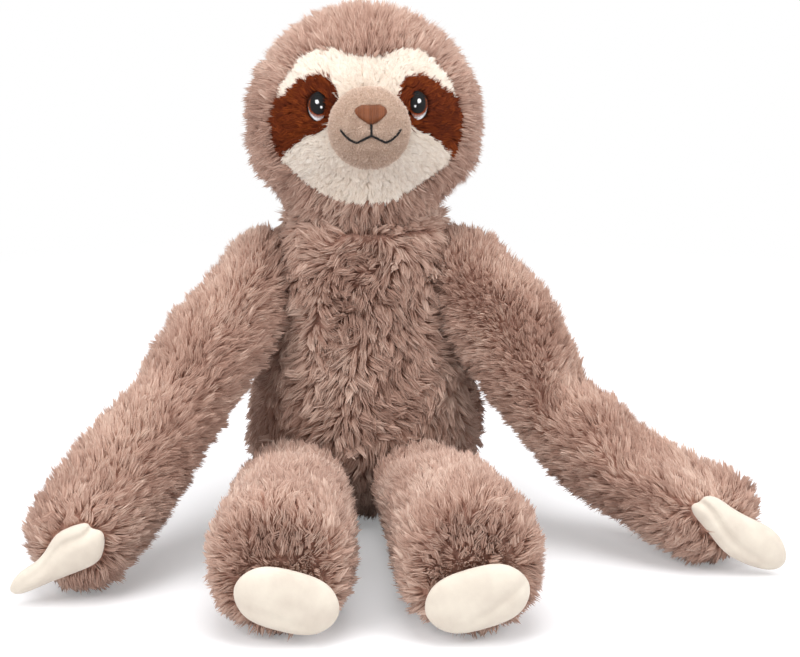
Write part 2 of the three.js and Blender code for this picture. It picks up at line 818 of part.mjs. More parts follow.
function addMuzzle(head) {
  const reach = headHalfWidth + headRise + headHalfHeight;
  const back = -(headHalfDepth - pileThickness);
  const ahead = block(
    new THREE.Vector3(-reach, -reach, -reach),
    new THREE.Vector3(reach, back, reach),
  );
  const cover = muzzleShape(0).subtract(muzzleShape(-napThickness)).intersect(ahead);
  const frontHalf = block(
    new THREE.Vector3(-reach, -reach, -reach),
    new THREE.Vector3(reach, -muzzleForward, reach),
  );
  const raised = (thickness, loop) => muzzleShape(thickness + seamGap)
    .subtract(muzzleShape(seamGap))
    .intersect(frontHalf)
    .intersect(prism(loop, new THREE.Vector3()));
  addLocal(head, 'muzzle_cover', cover, shortNap);
  addLocal(head, 'muzzle_stuffing', muzzleShape(-napThickness - seamGap).intersect(ahead), stuffingFibre);
  addLocal(head, 'nose', raised(noseThickness, noseLoop()), noseThread);
  addLocal(head, 'mouth_stitching', raised(mouthThickness, mouthLoop()), darkThread);
}

function buildHead(torso) {
  const neckPivot = new THREE.Vector3(0, 0, neckHeight + neckPivotRise);
  const seam = bodyGroup(torso, neckPivot);
  const sphere = neckBallRadius + socketGap / 2;
  const ring = threadRing(neckPivot, sphere, sphere * Math.SQRT1_2, up.clone().negate());
  addPart(seam, 'neck_seam_thread', ring, seamThread);
  const head = bodyGroup(seam, neckPivot);
  head.rotation.z = radians(headTurnDegrees);
  addHeadPanels(head);
  addLocal(head, 'head_stuffing', headAndNeck(-pileThickness - seamGap), stuffingFibre);
  addMuzzle(head);
  addEye(head, rightSide);
  addEye(head, leftSide);
}

function buildArm(torso, side, places) {
  const { name, sign } = side;
  const reach = bellyHalfWidth + neckHeight;
  const inner = -pileThickness;
  const filled = -pileThickness - seamGap;

  const seam = bodyGroup(torso, places.shoulder);
  const inward = new THREE.Vector3(-sign, 0, 0);
  const ring = threadRing(places.shoulder, shoulderBall + socketGap / 2, shoulderSeamRadius, inward);
  addPart(seam, `shoulder_seam_thread_${name}`, ring, seamThread);

  const upper = bodyGroup(seam, places.shoulder);
  const foreShape = forearmShape(places);
  const elbowRoom = roundRoom(elbowBall + elbowGap, places.elbow)
    .add(roomOf(foreShape, elbowGap, [[elbowAxis(places), -elbowUnbendDegrees]]))
    .add(roomOf(foreShape, elbowGap, [[elbowAxis(places), elbowBendDegrees]]));
  const upperShape = upperArmShape(places);
  const openShape = { ...upperShape, length: upperArmLength };
  const sleeve = limb(upperShape).subtract(limb(openShape, inner)).subtract(elbowRoom);
  const upperFill = limb(openShape, filled).intersect(limb(upperShape)).subtract(elbowRoom);
  addPart(upper, `upper_arm_cover_${name}`, sleeve, longPile);
  addPart(upper, `upper_arm_stuffing_${name}`, upperFill, stuffingFibre);

  const fore = bodyGroup(upper, places.elbow);
  const frame = handClawFrame(side, places);
  const clawRoom = [0, 1 / 4, 1 / 2, 1].map((share) => {
    const flap = new THREE.Matrix4().makeRotationY(-radians(clawFlapDegrees) * share);
    const spare = share > 0 ? clawFabric : seamGap;
    return solidOf(clawShape(spare).applyMatrix4(flap).applyMatrix4(frame));
  }).reduce((all, one) => all.add(one));
  const opening = new THREE.LatheGeometry([
    new THREE.Vector2(0, -elbowBall - cutOverrun),
    new THREE.Vector2(elbowOpeningRadius, -elbowBall - cutOverrun),
    new THREE.Vector2(elbowOpeningRadius, 0),
    new THREE.Vector2(0, 0),
  ], clawSides);
  opening.applyQuaternion(new THREE.Quaternion().setFromUnitVectors(latheAxis, places.fore));
  opening.translate(places.elbow.x, places.elbow.y, places.elbow.z);
  const foreCover = limb(foreShape)
    .subtract(limb(foreShape, inner))
    .subtract(solidOf(opening))
    .subtract(clawRoom)
    .subtract(underFloor(reach));
  addPart(fore, `forearm_cover_${name}`, foreCover, longPile);
  addPart(fore, `forearm_stuffing_${name}`, limb(foreShape, filled).subtract(clawRoom), stuffingFibre);

  const claw = bodyGroup(fore, new THREE.Vector3().setFromMatrixPosition(frame));
  const clawInside = solidOf(clawShape(-clawFabric).applyMatrix4(frame));
  const clawFill = solidOf(clawShape(-clawFabric - seamGap).applyMatrix4(frame));
  const mouthSize = clawHalfThickness / 2;
  const turnIn = new THREE.BoxGeometry(clawHalfWidth, clawHalfWidth, mouthSize);
  const turnInHole = solidOf(turnIn.applyMatrix4(frame));
  const clawCover = solidOf(clawShape(0).applyMatrix4(frame)).subtract(clawInside).subtract(turnInHole);
  addPart(claw, `hand_claw_cover_${name}`, clawCover, clawCloth);
  addPart(claw, `hand_claw_padding_${name}`, clawFill, stuffingFibre);
}

function buildLeg(torso, side, places) {
  const { name, sign } = side;
  const reach = bellyHalfWidth + neckHeight;
  const seam = bodyGroup(torso, places.hip);
  const inward = new THREE.Vector3(0, 1, 0);
  const ring = threadRing(places.hip, hipBall + socketGap / 2, hipSeamRadius, inward);
  addPart(seam, `hip_seam_thread_${name}`, ring, seamThread);

  const leg = bodyGroup(seam, places.hip);
  const shape = legShape(places);
  const frame = footClawFrame(side, places);
  const clawRoom = solidOf(footClawShape(seamGap).applyMatrix4(frame));
  const cover = limb(shape)
    .subtract(limb(shape, -pileThickness))
    .subtract(clawRoom)
    .subtract(underFloor(reach));
  addPart(leg, `leg_cover_${name}`, cover, longPile);
  const filling = limb(shape, -pileThickness - seamGap).subtract(clawRoom);
  addPart(leg, `leg_stuffing_${name}`, filling, stuffingFibre);

  const claw = bodyGroup(leg, new THREE.Vector3().setFromMatrixPosition(frame));
  const inside = solidOf(footClawShape(-clawFabric).applyMatrix4(frame));
  const fill = solidOf(footClawShape(-clawFabric - seamGap).applyMatrix4(frame));
  const turnIn = new THREE.BoxGeometry(footClawHalfWidth, footClawHalfHeight, footClawHalfThickness);
  turnIn.translate(0, -footClawHalfHeight, -footClawHalfThickness);
  const clawCover = solidOf(footClawShape(0).applyMatrix4(frame))
    .subtract(inside)
    .subtract(solidOf(turnIn.applyMatrix4(frame)));
  addPart(claw, `foot_claw_cover_${name}`, clawCover, clawCloth);
  addPart(claw, `foot_claw_padding_${name}`, fill, stuffingFibre);
}

const arms = { right: armPlaces(rightSide), left: armPlaces(leftSide) };
const legs = { right: legPlaces(rightSide), left: legPlaces(leftSide) };
const torso = buildTorso(arms, legs);
buildHead(torso);
for (const side of [rightSide, leftSide]) {
  buildArm(torso, side, arms[side.name]);
  buildLeg(torso, side, legs[side.name]);
}

export default root;
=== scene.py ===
# %% [markdown]
# # A seated plush sloth
#
# The toy is a stuffed body, head, two long arms and two legs in long taupe pile fabric,
# with a cream face in shorter pile, brown eye patches, a short-napped muzzle, embroidered
# eyes, nose and mouth, and four cream claws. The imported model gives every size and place.
# This script makes the looks round it: smooth backing fabric, the pile itself, the
# embroidery and the sewn claws.

# %% Load the frame
import json
import math

import bpy
import numpy as np
from mathutils import Matrix, Vector
from mathutils.bvhtree import BVHTree
from mathutils.kdtree import KDTree

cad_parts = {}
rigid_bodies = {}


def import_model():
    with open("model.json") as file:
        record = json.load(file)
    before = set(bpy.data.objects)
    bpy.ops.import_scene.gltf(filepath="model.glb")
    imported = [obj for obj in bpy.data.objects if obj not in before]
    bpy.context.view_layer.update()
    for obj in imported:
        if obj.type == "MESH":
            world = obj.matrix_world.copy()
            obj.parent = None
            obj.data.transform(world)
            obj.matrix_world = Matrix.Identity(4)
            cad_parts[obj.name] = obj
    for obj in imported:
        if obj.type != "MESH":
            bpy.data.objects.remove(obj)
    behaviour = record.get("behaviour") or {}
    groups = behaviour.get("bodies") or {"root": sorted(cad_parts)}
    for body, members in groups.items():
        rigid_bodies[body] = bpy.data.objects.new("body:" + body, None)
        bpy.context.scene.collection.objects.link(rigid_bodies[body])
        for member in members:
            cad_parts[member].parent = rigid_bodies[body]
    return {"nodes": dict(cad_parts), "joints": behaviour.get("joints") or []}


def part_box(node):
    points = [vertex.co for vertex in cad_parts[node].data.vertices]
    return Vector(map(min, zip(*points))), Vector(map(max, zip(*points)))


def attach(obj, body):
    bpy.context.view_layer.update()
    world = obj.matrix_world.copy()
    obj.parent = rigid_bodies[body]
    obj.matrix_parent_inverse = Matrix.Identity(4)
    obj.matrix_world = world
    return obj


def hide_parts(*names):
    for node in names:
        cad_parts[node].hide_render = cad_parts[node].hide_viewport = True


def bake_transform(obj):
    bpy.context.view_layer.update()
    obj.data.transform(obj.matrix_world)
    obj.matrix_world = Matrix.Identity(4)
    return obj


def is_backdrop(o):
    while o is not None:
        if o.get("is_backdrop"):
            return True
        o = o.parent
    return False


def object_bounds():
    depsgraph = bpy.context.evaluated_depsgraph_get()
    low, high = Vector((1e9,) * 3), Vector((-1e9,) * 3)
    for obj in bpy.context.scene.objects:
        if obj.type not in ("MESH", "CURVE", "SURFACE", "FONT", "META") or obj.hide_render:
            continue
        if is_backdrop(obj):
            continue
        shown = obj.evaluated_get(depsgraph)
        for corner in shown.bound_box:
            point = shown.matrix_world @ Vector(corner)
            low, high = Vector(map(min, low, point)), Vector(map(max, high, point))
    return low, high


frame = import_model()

bpy.ops.object.select_all(action="DESELECT")
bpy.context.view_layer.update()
MM = 0.001
NODES = frame["nodes"]
PIVOTS = {joint["name"]: Vector(joint["pos_m"]) for joint in frame["joints"]}
SIDES = ("right", "left")

# %% [markdown]
# ## Camera
#
# The photograph looks slightly down at the toy from far away, so the lens is long. The
# camera stands on a line through a target in the middle of the toy, tilted down by the
# elevation. A long lens keeps the feet from growing, as in a product photograph.

# %% Camera
CAMERA_TARGET = Vector((22, 0, 106)) * MM
CAMERA_DISTANCE = 1500 * MM
CAMERA_ELEVATION = math.radians(14)
SENSOR = 36
LENS = 116.4

back = Vector((0, -math.cos(CAMERA_ELEVATION), math.sin(CAMERA_ELEVATION)))
bpy.ops.object.camera_add(
    location=CAMERA_TARGET + back * CAMERA_DISTANCE,
    rotation=(math.pi / 2 - CAMERA_ELEVATION, 0, 0),
)
camera = bpy.context.object
camera.data.sensor_width = SENSOR
camera.data.lens = LENS
bpy.context.scene.camera = camera
bpy.context.scene.view_settings.view_transform = "Standard"
print("camera at", [round(v, 3) for v in camera.location])

# %% [markdown]
# ## Light
#
# A product photograph of this kind is lit by large soft boxes from both sides and above.
# They lighten the crown, the shoulders and the outer arms, and leave soft shade between
# the tufts. The world fills the shadows. It is plain white only to the camera and to
# mirror rays, so the background is white without lighting the toy more.

# %% Lamps
# Each lamp's name, its place and side in metres, and its watts.
LAMPS = (
    ("key_box", (-0.9, -1.0, 1.0), 0.9, 11.5),
    ("side_box", (1.1, -0.7, 0.9), 0.9, 9.0),
    ("top_box", (0.05, -0.1, 1.45), 1.1, 13.0),
)
for name, place, size, watts in LAMPS:
    at = Vector(place)
    aim = (CAMERA_TARGET - at).to_track_quat("-Z", "Y").to_euler()
    bpy.ops.object.light_add(type="AREA", location=at, rotation=aim)
    lamp = bpy.context.object
    lamp.name = name
    lamp.data.shape = "SQUARE"
    lamp.data.size = size
    lamp.data.energy = watts
print("lamps:", len(LAMPS))

# %% [markdown]
# ## Building materials from nodes
#
# A finish is a small graph of nodes, and every graph here is built by the same few
# helpers. The shader editor would do it by hand, but written down, one recipe serves
# several colours. All cloth and thread ends in the same surface shader, with its own
# roughness, highlight and sheen.

# %% Node helpers
def srgb(red, green, blue):
    """A colour given as on a screen, 0 to 255, in the linear values that shaders take."""
    shares = [channel / 255 for channel in (red, green, blue)]
    linear = [s / 12.92 if s <= 0.04045 else ((s + 0.055) / 1.055) ** 2.4 for s in shares]
    return (*linear, 1.0)


def new_material(name):
    material = bpy.data.materials.new(name)
    material.use_nodes = True
    material.node_tree.nodes.clear()
    return material


def add_node(material, kind, **values):
    """Adds a node, and sets its settings by name and its input sockets by their label."""
    node = material.node_tree.nodes.new(kind)
    for key, value in values.items():
        label = key.replace("_", " ").title()
        if label in node.inputs:
            node.inputs[label].default_value = value
        else:
            setattr(node, key, value)
    return node


def link(material, source, target):
    material.node_tree.links.new(source, target)


def add_ramp(material, stops):
    """A colour ramp with these (place, colour) stops."""
    ramp = material.node_tree.nodes.new("ShaderNodeValToRGB")
    elements = ramp.color_ramp.elements
    while len(elements) < len(stops):
        elements.new(1.0)
    for element, (place, colour) in zip(elements, stops):
        element.position = place
        element.color = colour
    return ramp


def add_surface(material, roughness, specular, sheen=0.0, sheen_roughness=0.5):
    """The surface shader of a material, already linked to its output."""
    surface = add_node(material, "ShaderNodeBsdfPrincipled", Roughness=roughness)
    surface.inputs["Specular IOR Level"].default_value = specular
    surface.inputs["Sheen Weight"].default_value = sheen
    surface.inputs["Sheen Roughness"].default_value = sheen_roughness
    end = add_node(material, "ShaderNodeOutputMaterial")
    link(material, surface.outputs[0], end.inputs["Surface"])
    return surface


print("a mid grey in linear light:", round(srgb(128, 128, 128)[0], 3))

# %% [markdown]
# ## World
#
# The world is the soft light that comes from everywhere. A picture of a sky could give it,
# but a plain colour keeps the toy's own colours true. The light path tells what kind of ray
# asks: rays that light the toy get the low fill, and the camera gets plain white.

# %% World
FILL_LEVEL = 0.46
WHITE = (1.0, 1.0, 1.0, 1.0)

world = bpy.data.worlds.new("studio")
bpy.context.scene.world = world
world.use_nodes = True
world.node_tree.nodes.clear()
rays = add_node(world, "ShaderNodeLightPath")
fill = add_node(world, "ShaderNodeBackground", Color=WHITE, Strength=FILL_LEVEL)
plain = add_node(world, "ShaderNodeBackground", Color=WHITE, Strength=1.0)
seen = add_node(world, "ShaderNodeMath", operation="MAXIMUM")
seen_through = add_node(world, "ShaderNodeMath", operation="MAXIMUM")
mixed = add_node(world, "ShaderNodeMixShader")
sky = add_node(world, "ShaderNodeOutputWorld")
link(world, rays.outputs["Is Camera Ray"], seen.inputs[0])
link(world, rays.outputs["Is Glossy Ray"], seen.inputs[1])
link(world, seen.outputs[0], seen_through.inputs[0])
link(world, rays.outputs["Is Transmission Ray"], seen_through.inputs[1])
link(world, seen_through.outputs[0], mixed.inputs[0])
link(world, fill.outputs[0], mixed.inputs[1])
link(world, plain.outputs[0], mixed.inputs[2])
link(world, mixed.outputs[0], sky.inputs["Surface"])
print("world fill:", FILL_LEVEL)

# %% [markdown]
# ## Floor
#
# The toy sits on a white sweep. Near the toy the floor is a plain pale surface that takes
# its soft shadow. Further out it fades to pure white for the camera alone, by distance
# from the origin.

# %% Floor
FLOOR_RADIUS = 9
FLOOR_COLOUR = srgb(233, 233, 235)
FLOOR_LIFT = 0.24
FLOOR_DROP = 0.3 * MM
SHADOW_REACH = (0.28, 0.75)

bpy.ops.mesh.primitive_circle_add(
    vertices=128, radius=FLOOR_RADIUS, fill_type="NGON", location=(0, 0, -FLOOR_DROP)
)
floor = bpy.context.object
floor.name = "floor"
sweep = new_material("white_sweep")
card = add_node(sweep, "ShaderNodeBsdfDiffuse", Color=FLOOR_COLOUR)
lift = add_node(sweep, "ShaderNodeEmission", Color=WHITE, Strength=FLOOR_LIFT)
bright = add_node(sweep, "ShaderNodeEmission", Color=WHITE, Strength=1.0)
lifted = add_node(sweep, "ShaderNodeAddShader")
rays = add_node(sweep, "ShaderNodeLightPath")
place = add_node(sweep, "ShaderNodeTexCoord")
reach = add_node(sweep, "ShaderNodeVectorMath", operation="LENGTH")
fade = add_node(sweep, "ShaderNodeMapRange")
fade.inputs["From Min"].default_value = SHADOW_REACH[0]
fade.inputs["From Max"].default_value = SHADOW_REACH[1]
near = add_node(sweep, "ShaderNodeMixShader")
shown = add_node(sweep, "ShaderNodeMixShader")
end = add_node(sweep, "ShaderNodeOutputMaterial")
link(sweep, card.outputs[0], lifted.inputs[0])
link(sweep, lift.outputs[0], lifted.inputs[1])
link(sweep, place.outputs["Object"], reach.inputs[0])
link(sweep, reach.outputs["Value"], fade.inputs["Value"])
link(sweep, fade.outputs["Result"], near.inputs[0])
link(sweep, lifted.outputs[0], near.inputs[1])
link(sweep, bright.outputs[0], near.inputs[2])
link(sweep, rays.outputs["Is Camera Ray"], shown.inputs[0])
link(sweep, card.outputs[0], shown.inputs[1])
link(sweep, near.outputs[0], shown.inputs[2])
link(sweep, shown.outputs[0], end.inputs["Surface"])
floor.data.materials.append(sweep)
floor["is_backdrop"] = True
print("floor radius:", FLOOR_RADIUS)

# %% [markdown]
# ## Colours of the pile
#
# Each hair carries painted shade that darkens it from its tip down to its root, and no two
# locks have quite the same tone. Both are drawn through the pile's own UV map: U is the tone
# of the lock, and V runs from root to tip. A noise texture in space could do the same, but it
# would cut across the hairs, where the map follows each of them.

# %% Pile materials
PILE_MAP = "OFBake"
# Painted shade halfway from a hair's root to its tip; the tip has none.
PAINTED_MIDDLE_SHADE = srgb(240, 236, 234)


def pile_material(name, dark, middle, light, painted_root_shade, sheen=0.3):
    """Fibre that goes from dark to light by lock, with painted shade darkening it towards its
    roots.
    """
    material = new_material(name)
    at = add_node(material, "ShaderNodeUVMap", uv_map=PILE_MAP)
    parts = add_node(material, "ShaderNodeSeparateXYZ")
    tone = add_ramp(material, ((0.0, dark), (0.5, middle), (1.0, light)))
    # Painted shade: each hair darkens from its tip down to its root, where the pile shades itself.
    depth = add_ramp(material, ((0.0, painted_root_shade), (0.5, PAINTED_MIDDLE_SHADE), (1.0, WHITE)))
    both = add_node(material, "ShaderNodeMix", data_type="RGBA", blend_type="MULTIPLY")
    both.inputs["Factor"].default_value = 1.0
    fibre = add_surface(material, roughness=0.9, specular=0.25, sheen=sheen)
    link(material, at.outputs["UV"], parts.inputs[0])
    link(material, parts.outputs["X"], tone.inputs[0])
    link(material, parts.outputs["Y"], depth.inputs[0])
    link(material, tone.outputs["Color"], both.inputs["A"])
    link(material, depth.outputs["Color"], both.inputs["B"])
    link(material, both.outputs["Result"], fibre.inputs["Base Color"])
    return material


# The last colour of each pile is the painted shade at the roots of its hairs.
LONG_PILE = pile_material(
    "long_taupe_pile",
    srgb(168, 132, 116), srgb(198, 164, 148), srgb(226, 200, 184), srgb(222, 194, 180),
)
CREAM_PILE = pile_material(
    "cream_pile",
    srgb(250, 238, 224), srgb(253, 244, 232), srgb(255, 249, 240), srgb(240, 230, 218),
)
BROWN_PILE = pile_material(
    "rust_brown_pile",
    srgb(78, 26, 3), srgb(112, 44, 8), srgb(150, 72, 22), srgb(170, 150, 140), sheen=0.05,
)
NAP_PILE = pile_material(
    "muzzle_nap",
    srgb(204, 178, 160), srgb(218, 194, 177), srgb(232, 212, 196), srgb(226, 218, 210),
)
print("piles:", [pile.name for pile in (LONG_PILE, CREAM_PILE, BROWN_PILE, NAP_PILE)])

# %% [markdown]
# ## Colours of the backing
#
# The pile is knitted into a backing cloth of the same dye, seen only in the gaps between
# the hairs. Its loops are far too small to model, so a pattern of small cells draws them,
# as a slight relief and painted shade that darkens each cell towards its edge.

# %% Backing materials
# How dark the painted shade between the knitted loops is, as a share of the colour.
PAINTED_KNIT_SHADE = 0.8


def backing_material(name, colour, grain=900):
    """Knitted loops, drawn as cells of this grain, with painted shade towards each cell's edge."""
    material = new_material(name)
    place = add_node(material, "ShaderNodeTexCoord")
    knit = add_node(material, "ShaderNodeTexVoronoi", Scale=grain)
    bump = add_node(material, "ShaderNodeBump", Strength=0.4, Distance=0.4 * MM)
    # Painted shade between the loops: each cell darkens towards its edge.
    shade = (*(PAINTED_KNIT_SHADE * channel for channel in colour[:3]), 1.0)
    tint = add_ramp(material, ((0.0, colour), (1.0, shade)))
    cloth = add_surface(material, roughness=0.95, specular=0.1)
    link(material, place.outputs["Object"], knit.inputs["Vector"])
    link(material, knit.outputs["Distance"], bump.inputs["Height"])
    link(material, knit.outputs["Distance"], tint.inputs[0])
    link(material, tint.outputs["Color"], cloth.inputs["Base Color"])
    link(material, bump.outputs["Normal"], cloth.inputs["Normal"])
    return material


TAUPE_BACKING = backing_material("taupe_backing", srgb(190, 148, 132))
CREAM_BACKING = backing_material("cream_backing", srgb(240, 230, 220))
BROWN_BACKING = backing_material("brown_backing", srgb(96, 42, 18))
print("materials:", len(bpy.data.materials))

# %% [markdown]
# ## Backing fabric
#
# Under the hairs each stuffed part is a smooth bag of knitted backing. The frame's solids
# have flat facets and hollow insides, so a copy of each is wrapped in its convex hull,
# remeshed to even squares, smoothed until the facets are gone, and drawn in by the height
# that the hairs will stand up. Both halves of an arm are remeshed together, so that the
# arm is one tube over the elbow, as it is on the real toy.

# %% Backing helpers
PILE_INSET = 4.2 * MM
SKIN_VOXEL = 3.5 * MM
MERGE_DISTANCE = 0.01 * MM
FIRST_SMOOTHINGS = 12
LAST_SMOOTHINGS = 4
SMOOTH_FACTOR = 0.5


def select_only(piece):
    bpy.ops.object.select_all(action="DESELECT")
    piece.select_set(True)
    bpy.context.view_layer.objects.active = piece


def apply_modifier(piece, kind, **settings):
    select_only(piece)
    step = piece.modifiers.new(kind.lower(), kind)
    for key, value in settings.items():
        setattr(step, key, value)
    bpy.ops.object.modifier_apply(modifier=step.name)


def hull_of(name, *nodes):
    """A closed convex wrapping round copies of these nodes."""
    bpy.ops.object.select_all(action="DESELECT")
    for node in nodes:
        twin = bpy.data.objects.new(name, NODES[node].data.copy())
        bpy.context.scene.collection.objects.link(twin)
        twin.select_set(True)
        bpy.context.view_layer.objects.active = twin
    if len(nodes) > 1:
        bpy.ops.object.join()
    hull = bpy.context.view_layer.objects.active
    hull.name = name
    hull.data.materials.clear()
    bpy.ops.object.mode_set(mode="EDIT")
    bpy.ops.mesh.select_all(action="SELECT")
    bpy.ops.mesh.remove_doubles(threshold=MERGE_DISTANCE)
    bpy.ops.mesh.convex_hull()
    bpy.ops.mesh.select_all(action="SELECT")
    bpy.ops.mesh.normals_make_consistent(inside=False)
    bpy.ops.object.mode_set(mode="OBJECT")
    return hull


def joined(name, pieces):
    bpy.ops.object.select_all(action="DESELECT")
    for piece in pieces:
        piece.select_set(True)
    bpy.context.view_layer.objects.active = pieces[0]
    bpy.ops.object.join()
    pieces[0].name = name
    return pieces[0]


def read_array(items, name, width, kind=np.float32):
    values = np.empty(len(items) * width, kind)
    items.foreach_get(name, values)
    return values.reshape(-1, width) if width > 1 else values


def move_corners(piece, move):
    """Moves a mesh's corners by a function of their places, an array of one row each."""
    places = read_array(piece.data.vertices, "co", 3).astype(float)
    piece.data.vertices.foreach_set("co", move(places).astype(np.float32).ravel())
    piece.data.update()


def rounded(piece, inset=PILE_INSET, voxel=SKIN_VOXEL, smoothings=FIRST_SMOOTHINGS):
    """Evens out a hull's facets and draws it in."""
    apply_modifier(piece, "REMESH", mode="VOXEL", voxel_size=voxel)
    apply_modifier(piece, "SMOOTH", iterations=smoothings, factor=SMOOTH_FACTOR)
    apply_modifier(piece, "DISPLACE", strength=-inset, mid_level=0.0)
    apply_modifier(piece, "SMOOTH", iterations=LAST_SMOOTHINGS, factor=SMOOTH_FACTOR)
    piece.data.shade_smooth()
    return piece


print("backing lies", PILE_INSET / MM, "mm under the tips of the pile")

# %% [markdown]
# ## Sculpting strokes
#
# A hull is rounder than a stuffed limb, which is slack in some places and full in others.
# The grab brush of sculpt mode would push it into shape by hand. These functions do the
# same: each stroke has a centre, a radius and a push, and fades out softly at its rim. The
# feet are drawn forward round their claws, the elbows are evened out, and the flat top of
# the body is sloped towards the shoulders.

# %% Sculpting strokes
# Centre, radius and push, all in millimetres.
ARM_STROKES = {
    "right": (((-89, -15, 144), 42, (6, 0, -1)),),
    "left": (
        ((101, -30, 134), 40, (5, 0, 4)),
        ((134, -58, 84), 28, (4, 0, 8)),
        ((128, -62, 20), 34, (2, 0, -6)),
        ((160, -95, 76), 42, (0, 0, -17)),
        ((195, -120, 68), 40, (0, 0, -19)),
        ((214, -128, 50), 30, (-4, 0, -8)),
        ((190, -85, 66), 42, (0, 0, -9)),
        ((160, -65, 80), 42, (0, 0, -9)),
        ((135, -48, 96), 36, (0, 0, -6)),
    ),
}
LEG_STROKES = {
    "right": (((-74, -150, 39), 50, (5, 0, 0)), ((-39, -75, 74), 60, (0, 0, -16))),
    "left": (((93, -150, 45), 50, (-5, 0, 0)), ((43, -75, 74), 60, (0, 0, -16))),
}
SKIN_FLOOR = 1.2 * MM


def ease(values, low, high):
    """A soft step from 0 at the low value to 1 at the high one."""
    share = np.clip((values - low) / (high - low), 0, 1)
    return share**2 * (3 - 2 * share)


def stroke(skin, strokes):
    """Pushes a skin as a soft brush does: a centre, a radius and a push, all in mm."""
    def push_all(places):
        for centre, radius, push in strokes:
            distance = np.linalg.norm(places - np.array(centre) * MM, axis=1) / (radius * MM)
            places = places + (1 - ease(distance, 0, 1))[:, None] * np.array(push) * MM
        places[:, 2] = np.maximum(places[:, 2], SKIN_FLOOR)
        return places

    move_corners(skin, push_all)


print("strokes on the left arm:", len(ARM_STROKES["left"]))

# %% Elbows and shoulders
ELBOW_REACH = 55 * MM
ELBOW_SMOOTHINGS = 40
SHOULDER_SLOPE = 5 * MM
SLOPE_OUT = (30 * MM, 50 * MM)
SLOPE_UP = (150 * MM, 170 * MM)


def even_elbow(skin, elbow):
    """Smooths the arm where its two halves meet, and nowhere else."""
    group = skin.vertex_groups.new(name="elbow")
    places = read_array(skin.data.vertices, "co", 3)
    distance = np.linalg.norm(places - np.array(elbow), axis=1)
    for index, weight in enumerate(1 - ease(distance, ELBOW_REACH / 2, ELBOW_REACH)):
        group.add([index], float(weight), "REPLACE")
    apply_modifier(
        skin, "SMOOTH", iterations=ELBOW_SMOOTHINGS, factor=SMOOTH_FACTOR, vertex_group="elbow"
    )
    skin.vertex_groups.clear()


def slope_shoulders(places):
    """Rounds off the flat top of the body round the neck."""
    out = np.hypot(places[:, 0], places[:, 1])
    places[:, 2] -= SHOULDER_SLOPE * ease(places[:, 2], *SLOPE_UP) * ease(out, *SLOPE_OUT)
    return places


print("elbows are evened out within", ELBOW_REACH / MM, "mm")

# %% Feet
SOLE_FORWARD = 9 * MM
TOE_FORWARD = 14 * MM
TOE_SPREAD = 9 * MM
FOOT_HALF_SIZE = 38 * MM
FOOT_LENGTH = 45 * MM
RIM_SHARES = (0.3, 0.85)
SPREAD_SHARES = (0.3, 0.8)


def blunt_foot(skin, side):
    """Draws the rim of the foot forward round its claw, so that the sole stands blunt."""
    low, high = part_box(f"foot_claw_cover_{side}")
    middle = (low + high) / 2
    front = min(vertex.co.y for vertex in skin.data.vertices)

    def draw(places):
        across = np.hypot(places[:, 0] - middle.x, places[:, 2] - FOOT_HALF_SIZE)
        rim = ease(across / FOOT_HALF_SIZE, *RIM_SHARES)
        near = 1 - ease(places[:, 1], front, front + FOOT_LENGTH)
        below = 1 - ease(places[:, 2], 0, FOOT_HALF_SIZE)
        places[:, 1] -= (SOLE_FORWARD + TOE_FORWARD * below) * rim * near
        out = places[:, 0] - middle.x
        aside = np.sign(out) * ease(np.abs(out) / FOOT_HALF_SIZE, *SPREAD_SHARES)
        places[:, 0] += TOE_SPREAD * aside * below * near
        return places

    move_corners(skin, draw)


print("feet are blunted over", FOOT_LENGTH / MM, "mm")

# %% [markdown]
# ## Head
#
# The stuffed head is an upright oval, fuller at the jowls than at the crown, on a short
# neck. The frame's hood is a thin shell with a hole for the face, so a hull of it would
# lose the cheeks. The head starts from two spheres instead, turned with the head's joint.

# %% Backing of the head
HEAD_INSET = 6.4 * MM
HEAD_HALF_SIZES = Vector((67, 60, 58)) * MM
HEAD_SHIFT = Vector((1.5, 0, 40)) * MM
NECK_RADIUS = 47 * MM

nod = next(joint for joint in frame["joints"] if joint["name"] == "head_nod")
HEAD_TURN = Matrix.Rotation(math.atan2(nod["axis"][1], nod["axis"][0]), 3, "Z")
HEAD_CENTRE = PIVOTS["head_nod"] + HEAD_TURN @ HEAD_SHIFT


def ball(name, centre, half_sizes, turn=None, detail=4, reshape=None):
    """An ico sphere, reshaped and stretched, with its place in its mesh."""
    bpy.ops.object.select_all(action="DESELECT")
    bpy.ops.mesh.primitive_ico_sphere_add(subdivisions=detail, radius=1)
    piece = bpy.context.object
    piece.name = name
    if reshape:
        move_corners(piece, reshape)
    stretch = Matrix.Diagonal(half_sizes).to_4x4()
    turned = turn.to_4x4() if turn else Matrix()
    piece.data.transform(Matrix.Translation(centre) @ turned @ stretch)
    return piece


JOWL_START = -0.17
JOWL_FULLNESS = 0.42
JOWL_CURVE = 1.5
CROWN_TAPER = 0.085


def full_jowls(places):
    """Widens an upright unit ball towards its bottom, and narrows it towards its top."""
    height = places[:, 2].clip(-1, 1)
    below = np.clip((JOWL_START - height) / (1 + JOWL_START), 0, 1)
    above = np.clip(height - JOWL_START, 0, None)
    places[:, 0] *= 1 + JOWL_FULLNESS * below**JOWL_CURVE - CROWN_TAPER * above
    return places


head = ball("head", HEAD_CENTRE, HEAD_HALF_SIZES, HEAD_TURN, reshape=full_jowls)
neck = ball("neck", PIVOTS["head_nod"], Vector((NECK_RADIUS,) * 3))
head_skin = rounded(joined("head_backing", [head, neck]), HEAD_INSET)
print("head backing faces:", len(head_skin.data.polygons))

# %% [markdown]
# ## Body, arms and legs
#
# Each of these is a sewn tube or bag, so its backing is the rounded hull of its own
# solids. An arm takes both its halves, a hull each, because one hull over a bent arm would
# fill the inside of its elbow.

# %% Backing of the body and limbs
ARM_SMOOTHINGS = 30
LIMB_PARTS = ("upper_arm", "forearm")

